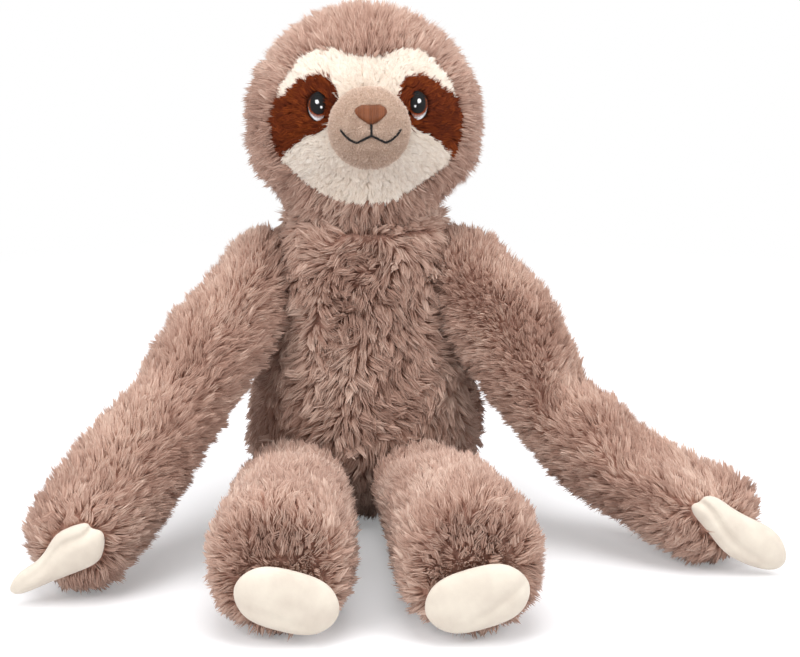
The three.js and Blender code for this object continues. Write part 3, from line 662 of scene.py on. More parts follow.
torso_skin = rounded(hull_of("torso_backing", "torso_front_panel", "torso_back_panel"))
move_corners(torso_skin, slope_shoulders)
arm_skins, leg_skins = {}, {}
for side in SIDES:
    halves = [hull_of(f"{part}_{side}", f"{part}_cover_{side}") for part in LIMB_PARTS]
    arm_skins[side] = rounded(joined(f"arm_backing_{side}", halves), smoothings=ARM_SMOOTHINGS)
    stroke(arm_skins[side], ARM_STROKES[side])
    even_elbow(arm_skins[side], PIVOTS[f"elbow_bend_{side}"])
    leg_skins[side] = rounded(hull_of(f"leg_backing_{side}", f"leg_cover_{side}"))
    stroke(leg_skins[side], LEG_STROKES[side])
    blunt_foot(leg_skins[side], side)
skins = [torso_skin, head_skin, *arm_skins.values(), *leg_skins.values()]
for skin in skins:
    skin.data.materials.append(TAUPE_BACKING)
print("backing faces:", {skin.name: len(skin.data.polygons) for skin in skins})

# %% [markdown]
# ## How the pile is grown
#
# Long pile fabric is a forest of fine fibres that cling together in pointed locks. Hair
# particles would draw it, but hair isn't a mesh, and the toy has to be one. So each hair is
# modelled as a thin closed sliver of four corners and four faces: a root, a tip, and two
# corners side by side at its bend, which give it its width. Roots are sown at random over
# the backing. A coarser sowing gives the locks, and the hairs round each lock lean with it
# and gather at its tip.
#
# Operators would take hours for so many hairs, so their corners are worked out in arrays
# and given to the mesh in one go.

# %% Sowing
LEAST_LENGTH = 1e-12


def unit(vectors):
    """Each vector, along an array's last axis, brought to a length of 1."""
    return vectors / np.maximum(np.linalg.norm(vectors, axis=-1, keepdims=True), LEAST_LENGTH)


def sow(skin, per_mm2, rng):
    """Random places on a skin, evenly by area, with the smooth normal at each."""
    mesh = skin.data
    mesh.calc_loop_triangles()
    corners = read_array(mesh.loop_triangles, "vertices", 3, np.int32)
    places = read_array(mesh.vertices, "co", 3).astype(float)
    normals = read_array(mesh.vertex_normals, "vector", 3).astype(float)
    a, b, c = places[corners[:, 0]], places[corners[:, 1]], places[corners[:, 2]]
    areas = np.linalg.norm(np.cross(b - a, c - a), axis=1) / 2
    count = int(areas.sum() / MM**2 * per_mm2)
    chosen = rng.choice(len(areas), count, p=areas / areas.sum())
    u, v = rng.random(count), rng.random(count)
    over = u + v > 1
    u[over], v[over] = 1 - u[over], 1 - v[over]
    shares = np.stack([1 - u - v, u, v], 1)[:, :, None]
    picked = corners[chosen]
    return (places[picked] * shares).sum(1), unit((normals[picked] * shares).sum(1))


def spaced(points, gap):
    """The indices of points that are kept when no two may be nearer than the gap."""
    tree = KDTree(len(points))
    for index, point in enumerate(points):
        tree.insert(point, index)
    tree.balance()
    free = np.ones(len(points), bool)
    kept = []
    for index, point in enumerate(points):
        if free[index]:
            kept.append(index)
            free[[found[1] for found in tree.find_range(point, gap)]] = False
    return np.array(kept)


def nearest(points, centres):
    """For each point, the index of the nearest centre."""
    tree = KDTree(len(centres))
    for index, centre in enumerate(centres):
        tree.insert(centre, index)
    tree.balance()
    return np.array([tree.find(point)[1] for point in points])


DRIFT_WAVES = 5
DRIFT_SPREAD = 2.2
DRIFT_SIZE_SHARES = (0.8, 1.6)


def drift(points, size, rng):
    """A smooth random value between about -1 and 1 that changes over this size."""
    total = np.zeros(len(points))
    for _ in range(DRIFT_WAVES):
        wave = rng.normal(0, 1, 3)
        wave *= 2 * math.pi / (size * rng.uniform(*DRIFT_SIZE_SHARES)) / np.linalg.norm(wave)
        total += np.sin(points @ wave + rng.uniform(0, 2 * math.pi))
    return total / DRIFT_SPREAD


print("drift is a sum of", DRIFT_WAVES, "waves")

# %% [markdown]
# ## Locks
#
# A lock starts square to the cloth and leans over the way the pile is combed. How far it
# leans depends on how much of the combing lies along the cloth there. Every lock strays a
# little, and slow swirls turn whole groups of them, as handling does to a real toy.

# %% Locks
LEAN_GAIN = 1.25
LENGTH_SHARES = (0.8, 1.22)
RUFFLE = 0.18
RUFFLE_SIZE_SHARE = 3
ROOT_LEAN_SPREAD = 0.12
TIP_LEAN_SPREAD = 0.16


def turned_about(vectors, axes, angles):
    """Each vector turned about its own axis, which is square to it."""
    cosines, sines = np.cos(angles)[:, None], np.sin(angles)[:, None]
    return vectors * cosines + np.cross(axes, vectors) * sines


def lay_locks(points, normals, comb, pile, rng):
    """The bend and the tip of the lock that starts at each point."""
    ahead = comb(points, normals)
    ahead = ahead - (ahead * normals).sum(1, keepdims=True) * normals
    lean = np.clip(LEAN_GAIN * np.linalg.norm(ahead, axis=1), 0, 1)
    ahead = unit(ahead)
    stray = rng.normal(0, pile["stray"], len(points))
    swirl = pile["swirl"] * drift(points, pile["swirl_size"], rng)
    ahead = turned_about(ahead, normals, stray + swirl)
    curled = turned_about(ahead, normals, rng.normal(0, pile["curl"], len(points)))
    length = pile["length"] * rng.uniform(*LENGTH_SHARES, len(points))
    ruffle = RUFFLE * drift(points, RUFFLE_SIZE_SHARE * pile["swirl_size"], rng)
    low = pile["root_lean"] * lean + ruffle + rng.normal(0, ROOT_LEAN_SPREAD, len(points))
    high = pile["tip_lean"] * lean + ruffle + rng.normal(0, TIP_LEAN_SPREAD, len(points))
    half = 0.5 * length[:, None]
    first = half * (np.cos(low)[:, None] * normals + np.sin(low)[:, None] * ahead)
    second = half * (np.cos(high)[:, None] * normals + np.sin(high)[:, None] * curled)
    return first, first + second


print("locks are", LENGTH_SHARES, "of the pile's length")

# %% [markdown]
# ## Hairs
#
# Each hair follows the nearest lock, but keeps a size and a scatter of its own, so that a
# lock is ragged at its tip. Its tone is the lock's tone with a little of its own. On the
# undersides that the toy rests on, most hairs are left out, because nothing shows there.

# %% Hairs
SPOTS_PER_GAP = 6
SIZE_SHARES = (0.7, 1.12)
TUFT_BEND_SHARE = 0.3
GATHER_BEND_SHARE = 0.35
SCATTER_BEND_SHARE = 0.4
SOLE_FACING = -0.8
SOLE_SHARE = 0.4
TONE_DRIFT = 0.13
TONE_SPREAD = 0.1
TONE_LIMITS = (0.02, 0.97)


def lay_hairs(skin, comb, pile, rng):
    """Roots, bends, tips, normals and tones of all the hairs on a skin."""
    roots, normals = sow(skin, pile["per_mm2"], rng)
    kept = (normals[:, 2] > SOLE_FACING) | (rng.random(len(roots)) < SOLE_SHARE)
    roots, normals = roots[kept], normals[kept]
    spots, up = sow(skin, SPOTS_PER_GAP / (pile["lock_gap"] / MM) ** 2, rng)
    kept = spaced(spots, pile["lock_gap"])
    spots, up = spots[kept], up[kept]
    to_bend, to_tip = lay_locks(spots, up, comb, pile, rng)
    tufts = spots[spaced(spots, pile["tuft_gap"])]
    to_tuft = (tufts[nearest(spots, tufts)] - spots) * pile["tuft_gather"]
    to_tip += to_tuft
    to_bend += to_tuft * TUFT_BEND_SHARE
    lock = nearest(roots, spots)
    inward = spots[lock] - roots
    size = rng.uniform(*SIZE_SHARES, len(roots))[:, None]
    scatter = rng.normal(0, pile["scatter"], (len(roots), 3))
    gather = inward * pile["gather"]
    bends = roots + to_bend[lock] * size + gather * GATHER_BEND_SHARE + scatter * SCATTER_BEND_SHARE
    tips = roots + to_tip[lock] * size + gather + scatter
    tone = 0.5 + TONE_DRIFT * drift(spots, pile["tone_size"], rng)
    tone += rng.normal(0, TONE_SPREAD, len(spots))
    tones = tone[lock] + rng.normal(0, pile["mottle"], len(roots))
    return roots, bends, tips, normals, tones.clip(*TONE_LIMITS)


print("share of the hairs left on the soles:", SOLE_SHARE)

# %% Mesh of the hairs
FLOOR_CLEAR = 0.3 * MM
HAIR_FACES = np.array((0, 1, 2, 3, 2, 1, 1, 0, 3, 0, 2, 3))
HAIR_CORNERS = 4
HAIR_TRIANGLES = 4
LEAST_ARCH = 0.3
SOFTNESS = 0.85
TONE_OFFSETS = np.array((0.004, 0.0, 0.012, 0.008))
DEPTH_SHARES = np.array((0.01, 0.5, 0.5, 0.99))


def hair_mesh(name, hairs, pile, material):
    """One closed mesh of all these hairs, with the pile's map on it.

    Light scatters between real fibres, so a pile looks softer than its hairs alone would.
    The faces' normals therefore turn part of the way to the normal of the skin.
    """
    roots, bends, tips, normals, tones = hairs
    count = len(roots)
    axis = unit(tips - roots)
    side = unit(np.cross(axis, normals + 1e-6))
    up = np.cross(side, axis)
    arch = ((bends - roots) * up).sum(1, keepdims=True)
    bends = bends + up * np.maximum(LEAST_ARCH * pile["width"] - arch, 0)
    half = side * pile["width"] / 2
    corners = np.stack([roots, bends + half, bends - half, tips], 1)
    corners[:, :, 2] = np.maximum(corners[:, :, 2], FLOOR_CLEAR)
    mesh = bpy.data.meshes.new(name)
    mesh.vertices.add(HAIR_CORNERS * count)
    mesh.vertices.foreach_set("co", corners.ravel().astype(np.float32))
    indices = HAIR_FACES[None] + HAIR_CORNERS * np.arange(count)[:, None]
    mesh.loops.add(indices.size)
    mesh.loops.foreach_set("vertex_index", indices.ravel().astype(np.int32))
    mesh.polygons.add(HAIR_TRIANGLES * count)
    mesh.polygons.foreach_set("loop_start", np.arange(0, indices.size, 3, dtype=np.int32))
    mesh.update(calc_edges=True)
    placed = np.empty((count, len(HAIR_FACES), 2), np.float32)
    placed[:, :, 0] = tones[:, None] + TONE_OFFSETS[HAIR_FACES][None]
    placed[:, :, 1] = DEPTH_SHARES[HAIR_FACES][None]
    layer = mesh.uv_layers.new(name=PILE_MAP)
    layer.uv.foreach_set("vector", placed.ravel())
    mesh.shade_smooth()
    faces = corners[:, HAIR_FACES].reshape(count, HAIR_TRIANGLES, 3, 3)
    facing = np.cross(faces[:, :, 1] - faces[:, :, 0], faces[:, :, 2] - faces[:, :, 0])
    facing = unit(facing.reshape(-1, 3)).reshape(count, HAIR_TRIANGLES, 3)
    soft = facing + SOFTNESS * normals[:, None]
    mesh.normals_split_custom_set(np.repeat(unit(soft.reshape(-1, 3)), 3, axis=0))
    piece = bpy.data.objects.new(name, mesh)
    bpy.context.scene.collection.objects.link(piece)
    mesh.materials.append(material)
    return piece


def chosen_hairs(hairs, keep):
    return tuple(values[keep] for values in hairs)


print("each hair has", HAIR_CORNERS, "corners and", HAIR_TRIANGLES, "faces")

# %% [markdown]
# ## Muzzle
#
# The muzzle is a dome of short-napped fabric, sewn into the face with one dart at the
# bottom that gives it its roundness. A sphere could stand for it, but the frame's dome
# already has the right size and bulge, so a copy of it is wrapped, rounded and pressed in
# along the dart.

# %% Muzzle
MUZZLE_PLACE = Vector((0, -62, -2)) * MM
MUZZLE_CENTRE = HEAD_CENTRE + HEAD_TURN @ MUZZLE_PLACE
MUZZLE_DEPTH = np.array((0, 20, 0)) * MM
MUZZLE_INSET = 0.3 * MM
MUZZLE_VOXEL = 1.4 * MM
MUZZLE_GRAIN = 1500
DART_TOP = -12 * MM
DART_FADE = 8 * MM
DART_DEPTH = 0.9 * MM
DART_WIDTH = 0.8 * MM


def in_head(places):
    """Places seen from the middle of the head, with the head's turn taken out."""
    return (places - np.array(HEAD_CENTRE)) @ np.array(HEAD_TURN)


def press_dart(places):
    local = in_head(places)
    below = np.clip((DART_TOP - local[:, 2]) / DART_FADE, 0, 1)
    depth = DART_DEPTH * below * np.exp(-((local[:, 0] / DART_WIDTH) ** 2))
    return places + depth[:, None] * unit(np.array(MUZZLE_CENTRE) + MUZZLE_DEPTH - places)


muzzle = rounded(hull_of("muzzle", "muzzle_cover"), MUZZLE_INSET, MUZZLE_VOXEL, 10)
apply_modifier(muzzle, "SUBSURF", levels=1, render_levels=1)
move_corners(muzzle, press_dart)
muzzle.data.materials.append(backing_material("muzzle_backing", srgb(198, 172, 154), MUZZLE_GRAIN))
print("muzzle faces:", len(muzzle.data.polygons))

# %% [markdown]
# ## Embroidery
#
# The eyes, nose and mouth are sewn by machine. Satin stitch is many threads side by side,
# each running from one edge of the shape to the other and a little raised in the middle,
# so it catches the light in a sheen across the threads. A bump map could draw the ridges,
# but real threads also give the edge its small steps, so each thread is a thin closed tube
# laid on the surface below it.

# %% Thread materials
def thread_material(name, dark, light, roughness=0.35):
    """Shiny rayon thread. The tone changes from thread to thread along the map's U."""
    material = new_material(name)
    at = add_node(material, "ShaderNodeUVMap", uv_map=PILE_MAP)
    parts = add_node(material, "ShaderNodeSeparateXYZ")
    tone = add_ramp(material, ((0.0, dark), (1.0, light)))
    thread = add_surface(material, roughness, specular=0.3)
    link(material, at.outputs["UV"], parts.inputs[0])
    link(material, parts.outputs["X"], tone.inputs[0])
    link(material, tone.outputs["Color"], thread.inputs["Base Color"])
    return material


BLACK_THREAD = thread_material("black_thread", srgb(4, 3, 4), srgb(12, 10, 11), 0.6)
WHITE_THREAD = thread_material("white_thread", srgb(236, 236, 240), srgb(250, 250, 252))
IRIS_THREAD = thread_material("amber_thread", srgb(140, 54, 10), srgb(186, 88, 28))
NOSE_THREAD = thread_material("chestnut_thread", srgb(104, 54, 26), srgb(138, 80, 46))
print("threads:", [it.name for it in (BLACK_THREAD, WHITE_THREAD, IRIS_THREAD, NOSE_THREAD)])

# %% Tubes
END_TAPER = 0.35
THREAD_TONES = (0.05, 0.9)
SIDE_STEP = 0.01
LAP_SHARE = 0.2


def tube_faces(count, steps, sides):
    """The faces of closed tubes whose rings follow one another."""
    around = np.arange(sides)
    after = (around + 1) % sides
    pattern = []
    for step in range(steps - 1):
        low, high = step * sides, (step + 1) * sides
        pattern += [(low + a, low + b, high + b, high + a) for a, b in zip(around, after)]
    pattern += [tuple(around[::-1]), tuple((steps - 1) * sides + around)]
    bases = range(0, count * steps * sides, steps * sides)
    return [tuple(int(corner) + base for corner in face) for base in bases for face in pattern]


def tubes(name, paths, radius, material, rng, sides=6):
    """Closed tubes along paths of equal length, given as an array (tube, step, xyz)."""
    count, steps, _ = paths.shape
    ahead = unit(np.gradient(paths, axis=1))
    side = unit(np.cross(ahead, np.array(HEAD_TURN @ Vector((0, -1, 0)))))
    up = np.cross(side, ahead)
    angles = 2 * math.pi * np.arange(sides) / sides
    taper = np.ones(steps)
    taper[[0, -1]] = END_TAPER
    ring = (
        np.cos(angles)[None, None, :, None] * side[:, :, None]
        + np.sin(angles)[None, None, :, None] * up[:, :, None]
    )
    corners = paths[:, :, None] + ring * radius * taper[None, :, None, None]
    mesh = bpy.data.meshes.new(name)
    mesh.from_pydata(corners.reshape(-1, 3).tolist(), [], tube_faces(count, steps, sides))
    layer = mesh.uv_layers.new(name=PILE_MAP)
    corner_at = read_array(mesh.loops, "vertex_index", 1, np.int32)
    tube_of = corner_at // (steps * sides)
    step_of = corner_at // sides % steps
    side_of = corner_at % sides
    tones = rng.uniform(*THREAD_TONES, count)
    tone = tones[tube_of] + SIDE_STEP * side_of
    placed = np.stack([tone, (step_of + LAP_SHARE * side_of / sides) / steps], 1)
    layer.uv.foreach_set("vector", placed.astype(np.float32).ravel())
    mesh.shade_smooth()
    piece = bpy.data.objects.new(name, mesh)
    bpy.context.scene.collection.objects.link(piece)
    mesh.materials.append(material)
    return piece


print("a tube's ends taper to", END_TAPER)

# %% [markdown]
# ## Laying threads on a surface
#
# The outlines of the embroidery are drawn flat, as seen from in front of the head, and
# thrown back onto the surface by rays. The shrinkwrap modifier could do that too, but rays
# also lift each point along the normal there, by its own height. Where an outline reaches
# past the edge of the surface, the nearest point on it is taken.

# %% Satin stitch
VIEW_DISTANCE = 120 * MM
EDGE_DEPTH = 56 * MM
END_JOG = 0.08 * MM
OVERLAP = 0.62


def tree_of(piece):
    """A search tree of a piece's surface."""
    corners = [vertex.co.copy() for vertex in piece.data.vertices]
    return BVHTree.FromPolygons(corners, [list(face.vertices) for face in piece.data.polygons])


def laid_on(tree, points, lift):
    """Points in the head's front view, as (x, z) from its middle, on the surface there."""
    ahead = HEAD_TURN @ Vector((0, 1, 0))
    found = []
    for (x, z), height in zip(points, lift):
        start = HEAD_CENTRE + HEAD_TURN @ Vector((x, -VIEW_DISTANCE, z))
        place, normal, _, _ = tree.ray_cast(start, ahead)
        if place is None:
            beside = HEAD_CENTRE + HEAD_TURN @ Vector((x, -EDGE_DEPTH, z))
            place, normal, _, _ = tree.find_nearest(beside)
        found.append(place + normal * height)
    return np.array(found)


def satin(name, outline, angle, tree, lift, crown, material, rng, pitch=0.34 * MM, steps=7):
    """Fills an outline in the head's front view with parallel threads."""
    turn = np.array(((math.cos(angle), -math.sin(angle)), (math.sin(angle), math.cos(angle))))
    flat = outline @ turn
    low, high = flat[:, 1].min(), flat[:, 1].max()
    shares = np.linspace(0, 1, steps)
    paths = []
    for level in np.arange(low + pitch / 2, high, pitch):
        after = np.roll(flat, -1, 0)
        crosses = (flat[:, 1] < level) != (after[:, 1] < level)
        part = (level - flat[crosses, 1]) / (after[crosses, 1] - flat[crosses, 1])
        ends = np.sort(flat[crosses, 0] + part * (after[crosses, 0] - flat[crosses, 0]))
        for a, b in zip(ends[::2], ends[1::2]):
            jog = rng.normal(0, END_JOG, 2)
            across = a + jog[0] + (b + jog[1] - a - jog[0]) * shares
            line = np.stack([across, np.full(steps, level)], 1) @ turn.T
            middle = 1 - abs(2 * (level - low) / (high - low) - 1) ** 3
            rise = lift + crown * middle * np.sin(math.pi * shares) ** 0.5
            paths.append(laid_on(tree, line, rise))
    return tubes(name, np.array(paths), pitch * OVERLAP, material, rng)


def egg(centre, half_width, half_height, point=0.0, lean=0.0, corners=48):
    """An oval outline. A point above 0 draws its top to a tip, and a lean shifts the tip."""
    a = 2 * math.pi * np.arange(corners) / corners
    narrow = 1 - point * np.clip(np.sin(a), 0, 1) ** 2
    x = half_width * np.cos(a) * narrow + lean * np.clip(np.sin(a), 0, 1) ** 2
    return np.stack([centre[0] + x, centre[1] + half_height * np.sin(a)], 1)


print("thread radius is", OVERLAP, "of the pitch")

# %% [markdown]
# ## Eyes
#
# Each eye is stitched in layers on a small padded oval: a white crescent below, an amber
# iris, a black pupil that runs up into a drawn-out upper lid, and two white glints. The
# pad lifts the eye to the height of the pile round it.

# %% Eyes
EYE_OUT = 27.3 * MM
EYE_UP = 7.5 * MM
EYE_PAD = Vector((6.1, 3.6, 8.0)) * MM
PAD_LIFT = 0.4 * MM
LID_LEAN = 0.9 * MM
LAYER_RISE = 0.22 * MM
LAYER_START = 0.4
EYE_CROWN = 0.1 * MM
EYE_PITCH = 0.3 * MM
# Each layer's half width and height, its shift outward and up, and how pointed its top is.
EYE_LAYERS = (
    ("eye_white", (5.3, 7.1), (0.0, -0.3), 0.0, WHITE_THREAD),
    ("eye_iris", (5.2, 6.4), (0.0, 0.8), 0.0, IRIS_THREAD),
    ("eye_pupil", (5.2, 5.9), (0.0, 2.3), 0.35, BLACK_THREAD),
    ("eye_upper_glint", (0.95, 1.25), (0.5, 3.0), 0.0, WHITE_THREAD),
    ("eye_lower_glint", (0.6, 0.65), (-1.6, 0.4), 0.0, WHITE_THREAD),
)

rng = np.random.default_rng(11)
head_tree = tree_of(head_skin)
thread_pieces, eye_pads = [], {}
for side, sign in zip(SIDES, (-1, 1)):
    middle = (sign * EYE_OUT, EYE_UP)
    seat = Vector(laid_on(head_tree, [middle], [PAD_LIFT])[0])
    _, slope, _, _ = head_tree.find_nearest(seat)
    facing = slope.to_track_quat("-Y", "Z").to_matrix()
    pad = ball(f"eye_pad_{side}", seat, EYE_PAD, facing)
    pad.data.materials.append(BLACK_THREAD)
    pad.data.shade_smooth()
    eye_pads[side] = pad
    pad_tree = tree_of(pad)
    for level, (name, (wide, tall), (out, up), point, thread) in enumerate(EYE_LAYERS):
        centre = (middle[0] + sign * out * MM, middle[1] + up * MM)
        outline = egg(centre, wide * MM, tall * MM, point, -sign * LID_LEAN * (point > 0))
        lift = LAYER_RISE * (level + LAYER_START)
        piece = satin(
            f"{name}_threads_{side}", outline, math.pi / 2 * (level % 2), pad_tree, lift,
            EYE_CROWN, thread, rng, pitch=EYE_PITCH,
        )
        thread_pieces.append((piece, f"{name}_{side}"))
print("eye threads:", sum(len(piece.data.polygons) for piece, _ in thread_pieces))

# %% [markdown]
# ## Nose and mouth
#
# The nose is a rounded triangle of upright satin stitch, padded so that it stands well off
# the muzzle. The mouth is backstitch: short thick stitches end to end, each a little
# raised in its middle. A bevelled curve could draw the mouth, but it would be one smooth
# wire, and the stitches are what makes it look sewn.

# %% Nose
NOSE_OUTLINE = np.array((
    (0, 15.2), (5, 15.0), (8.3, 13.4), (9.0, 11.2), (7.2, 9.0), (4.2, 6.9), (1.8, 5.7), (0, 5.3),
)) * MM
NOSE_SHARE = np.array((0.92, 1.0))
NOSE_LIFT = 0.5 * MM
NOSE_CROWN = 1.3 * MM
NOSE_PITCH = 0.4 * MM
MUZZLE_RISE = np.array((0, -2)) * MM
MIRROR = np.array((-1, 1))


def rounded_outline(points, steps=8):
    """A closed Catmull-Rom curve through these points."""
    before, after, later = (np.roll(points, shift, 0) for shift in (1, -1, -2))
    t = np.linspace(0, 1, steps, endpoint=False)[:, None, None]
    curve = 0.5 * (
        2 * points + (after - before) * t
        + (2 * before - 5 * points + 4 * after - later) * t**2
        + (3 * points - before - 3 * after + later) * t**3
    )
    return curve.transpose(1, 0, 2).reshape(-1, 2)


muzzle_tree = tree_of(muzzle)
nose_loop = np.concatenate([NOSE_OUTLINE, NOSE_OUTLINE[-2:0:-1] * MIRROR])
nose = satin(
    "nose_threads", rounded_outline(nose_loop) * NOSE_SHARE + MUZZLE_RISE, math.pi / 2,
    muzzle_tree, NOSE_LIFT, NOSE_CROWN, NOSE_THREAD, rng, pitch=NOSE_PITCH, steps=9,
)
thread_pieces.append((nose, "nose"))
print("nose faces:", len(nose.data.polygons))

# %% Mouth
MOUTH_HALF = np.array((
    (0.3, -0.4), (3.2, -1.9), (7.4, -4.3), (8.2, -4.3), (11.2, -3.0), (14.0, -0.7), (15.8, 1.6),
)) * MM
MOUTH_DROP = np.array(((0, 5.8), (0, 2.6), (0, -0.6))) * MM
MOUTH_THREAD = 0.62 * MM
STITCH_LENGTH = 1.3 * MM
STITCH_OVERRUN = 0.32
STITCH_LIFT = 0.25 * MM
STITCH_CROWN = 0.42 * MM


def evenly(points, step):
    """Points along an open line, a step apart."""
    lengths = np.concatenate([[0], np.cumsum(np.linalg.norm(np.diff(points, axis=0), axis=1))])
    at = np.linspace(0, lengths[-1], max(2, round(lengths[-1] / step) + 1))
    return np.stack([np.interp(at, lengths, points[:, axis]) for axis in (0, 1)], 1)


stitches = []
shares = np.linspace(0, 1, 5)
rise = STITCH_LIFT + STITCH_CROWN * np.sin(math.pi * shares)
for line in (MOUTH_DROP, MOUTH_HALF, MOUTH_HALF * MIRROR):
    knots = evenly(line, STITCH_LENGTH)
    for a, b in zip(knots[:-1], knots[1:]):
        over = (b - a) * STITCH_OVERRUN
        stitch = (a - over) + (b - a + 2 * over) * shares[:, None]
        stitches.append(laid_on(muzzle_tree, stitch + MUZZLE_RISE, rise))
mouth = tubes("mouth_threads", np.array(stitches), MOUTH_THREAD, BLACK_THREAD, rng)
thread_pieces.append((mouth, "mouth_stitching"))
print("mouth stitches:", len(stitches))

# %% [markdown]
# ## Claws
#
# Each claw is a flat-sewn pouch of cream velour with a little padding, so it is rounded,
# blunt, and folded lengthwise where the filling doesn't reach. A sphere is the nearest
# closed start: its rings become the claw's sections, which a short table makes wider and
# narrower along a bent middle line. Folds are pressed in along the length, and the base is
# notched between its two lobes.

# %% Claw material
def velour_material(name, colour, shade):
    """Very short cream nap: soft sheen, a fine grain and slight cloudy wear."""
    material = new_material(name)
    place = add_node(material, "ShaderNodeTexCoord")
    cloud = add_node(material, "ShaderNodeTexNoise", Scale=70.0, Detail=4.0)
    grain = add_node(material, "ShaderNodeTexNoise", Scale=1800.0, Detail=2.0)
    tint = add_ramp(material, ((0.3, shade), (0.7, colour)))
    bump = add_node(material, "ShaderNodeBump", Strength=0.35, Distance=0.25 * MM)
    cloth = add_surface(material, roughness=0.9, specular=0.2, sheen=0.35, sheen_roughness=0.4)
    link(material, place.outputs["Object"], cloud.inputs["Vector"])
    link(material, place.outputs["Object"], grain.inputs["Vector"])
    link(material, cloud.outputs[0], tint.inputs[0])
    link(material, grain.outputs[0], bump.inputs["Height"])
    link(material, tint.outputs["Color"], cloth.inputs["Base Color"])
    link(material, bump.outputs["Normal"], cloth.inputs["Normal"])
    return material


CLAW_VELOUR = velour_material("claw_velour", srgb(232, 222, 207), srgb(216, 204, 190))
print("claw material:", CLAW_VELOUR.name)

# %% Shape of a claw
FOLD_WIDTH = 2.0 * MM
NOTCH_REACH = 10 * MM
NOTCH_WIDTH = 4.0 * MM
SEAM_DEPTH = 0.3 * MM
SEAM_WIDTH = 0.7 * MM
CLAW_FLOOR = 0.2 * MM
BLUNTNESS = 5
UNDERSIDE_FOLD = -0.2
TABLE_SPANS = 14


def smooth_table(at, points, values):
    """Values read from a short table with a smooth curve through it."""
    span = (points[-1] - points[0]) / TABLE_SPANS
    before, here, after = (np.interp(at + shift, points, values) for shift in (-span, 0, span))
    return (before + 2 * here + after) / 4


def claw_sections(table, origin, ahead, across, outward):
    """A function that turns a unit ball into a claw with the table's sections."""
    along = np.array(table["along"], float)

    def shape(ball_places):
        share = (ball_places[:, 2] + 1) / 2
        at = along[0] + (along[-1] - along[0]) * share
        blunt = (1 - np.abs(2 * share - 1) ** BLUNTNESS) ** 0.5
        ring = unit(ball_places[:, :2])
        wide, deep, middle, fold, depth = (
            smooth_table(at, along, np.array(table[key], float)) * MM
            for key in ("half_width", "half_depth", "middle", "fold", "fold_depth")
        )
        u = wide * blunt * ring[:, 0]
        w = deep * blunt * ring[:, 1]
        front = np.clip(ring[:, 1], UNDERSIDE_FOLD, 1) * blunt
        w -= depth * np.exp(-(((u - fold) / FOLD_WIDTH) ** 2)) * front
        near_base = np.clip(1 - (at - along[0]) * MM / NOTCH_REACH, 0, 1)
        notch = table["notch"] * MM * near_base
        forward = at * MM + notch * np.exp(-(((u - fold) / NOTCH_WIDTH) ** 2))
        u -= np.sign(u) * SEAM_DEPTH * np.exp(-((w / SEAM_WIDTH) ** 2))
        return (
            np.array(origin) + forward[:, None] * np.array(ahead)
            + (u + middle)[:, None] * np.array(across) + w[:, None] * np.array(outward)
        )

    return shape


def claw_piece(name, *sections):
    """A sewn claw, made from a sphere whose rings become its sections."""
    bpy.ops.object.select_all(action="DESELECT")
    bpy.ops.mesh.primitive_uv_sphere_add(segments=48, ring_count=40, radius=1)
    claw = bpy.context.object
    claw.name = name
    move_corners(claw, claw_sections(*sections))
    bpy.ops.object.mode_set(mode="EDIT")
    bpy.ops.mesh.select_all(action="SELECT")
    bpy.ops.mesh.normals_make_consistent(inside=False)
    bpy.ops.object.mode_set(mode="OBJECT")
    apply_modifier(claw, "SUBSURF", levels=1, render_levels=1)
    move_corners(claw, lambda places: np.maximum(places, (-np.inf, -np.inf, CLAW_FLOOR)))
    claw.data.shade_smooth()
    claw.data.materials.append(CLAW_VELOUR)
    return claw


print("folds are", FOLD_WIDTH / MM, "mm wide")

# %% Hand claws
# All in millimetres, along the claw from its joint to its tip.
HAND_CLAWS = {
    "right": {
        "along": (-5, -1, 4, 10, 18, 26, 34, 44, 54.5),
        "middle": (2.5, 0.5, -1, -0.5, 0.5, -1, -1.5, -0.5, -1),
        "half_width": (9, 10.5, 12, 12.3, 11.8, 8.6, 6.5, 6.2, 5.5),
        "half_depth": (4.5, 5.5, 6.3, 6.5, 6.5, 6.2, 5.8, 5.3, 4.5),
        "fold": (3, 3.5, 4.5, 5.5, 6, 4, 2, 1, 1),
        "fold_depth": (3.2, 3.0, 2.6, 2.4, 2.2, 1.8, 1.2, 0.6, 0.2),
        "notch": 4,
    },
    "left": {
        "along": (-10, -5, 0, 6, 14, 22, 30, 38, 45, 52),
        "middle": (-2, -1.4, -1, -2.2, -4, -4.8, -4, -3.2, -3.5, -4.4),
        "half_width": (7.5, 8.2, 9, 9, 10.5, 12, 12.5, 12, 10.5, 9),
        "half_depth": (4.5, 5.5, 6.3, 6.5, 6.5, 6.5, 6.5, 6.3, 5.8, 5),
        "fold": (2, 2, 1.5, 0, -2, -3.5, -5, -6, -6, -6),
        "fold_depth": (3.0, 2.8, 2.4, 2.2, 2.0, 1.8, 1.4, 0.9, 0.5, 0.2),
        "notch": 3.5,
    },
}
OUTWARD = Vector((0, -1, 0))
claws = {}
for side in SIDES:
    joint = next(j for j in frame["joints"] if j["name"] == f"hand_claw_flap_{side}")
    across = Vector(joint["axis"])
    across = across if across.z > 0 else -across
    ahead = across.cross(Vector((0, 1, 0)))
    ahead = ahead if ahead.z < 0 else -ahead
    low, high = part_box(f"hand_claw_cover_{side}")
    origin = Vector(joint["pos_m"])
    origin.y = (low.y + high.y) / 2
    name = f"hand_claw_{side}"
    claws[name] = claw_piece(name, HAND_CLAWS[side], origin, ahead, across, OUTWARD)
print("hand claws:", {name: len(claw.data.polygons) for name, claw in claws.items()})

# %% [markdown]
# ## Foot claws
#
# A foot claw is the same pouch, sewn flat against the end of the foot as an oval. It lies
# across the foot, rolled a little towards the other foot, with one shallow crease.

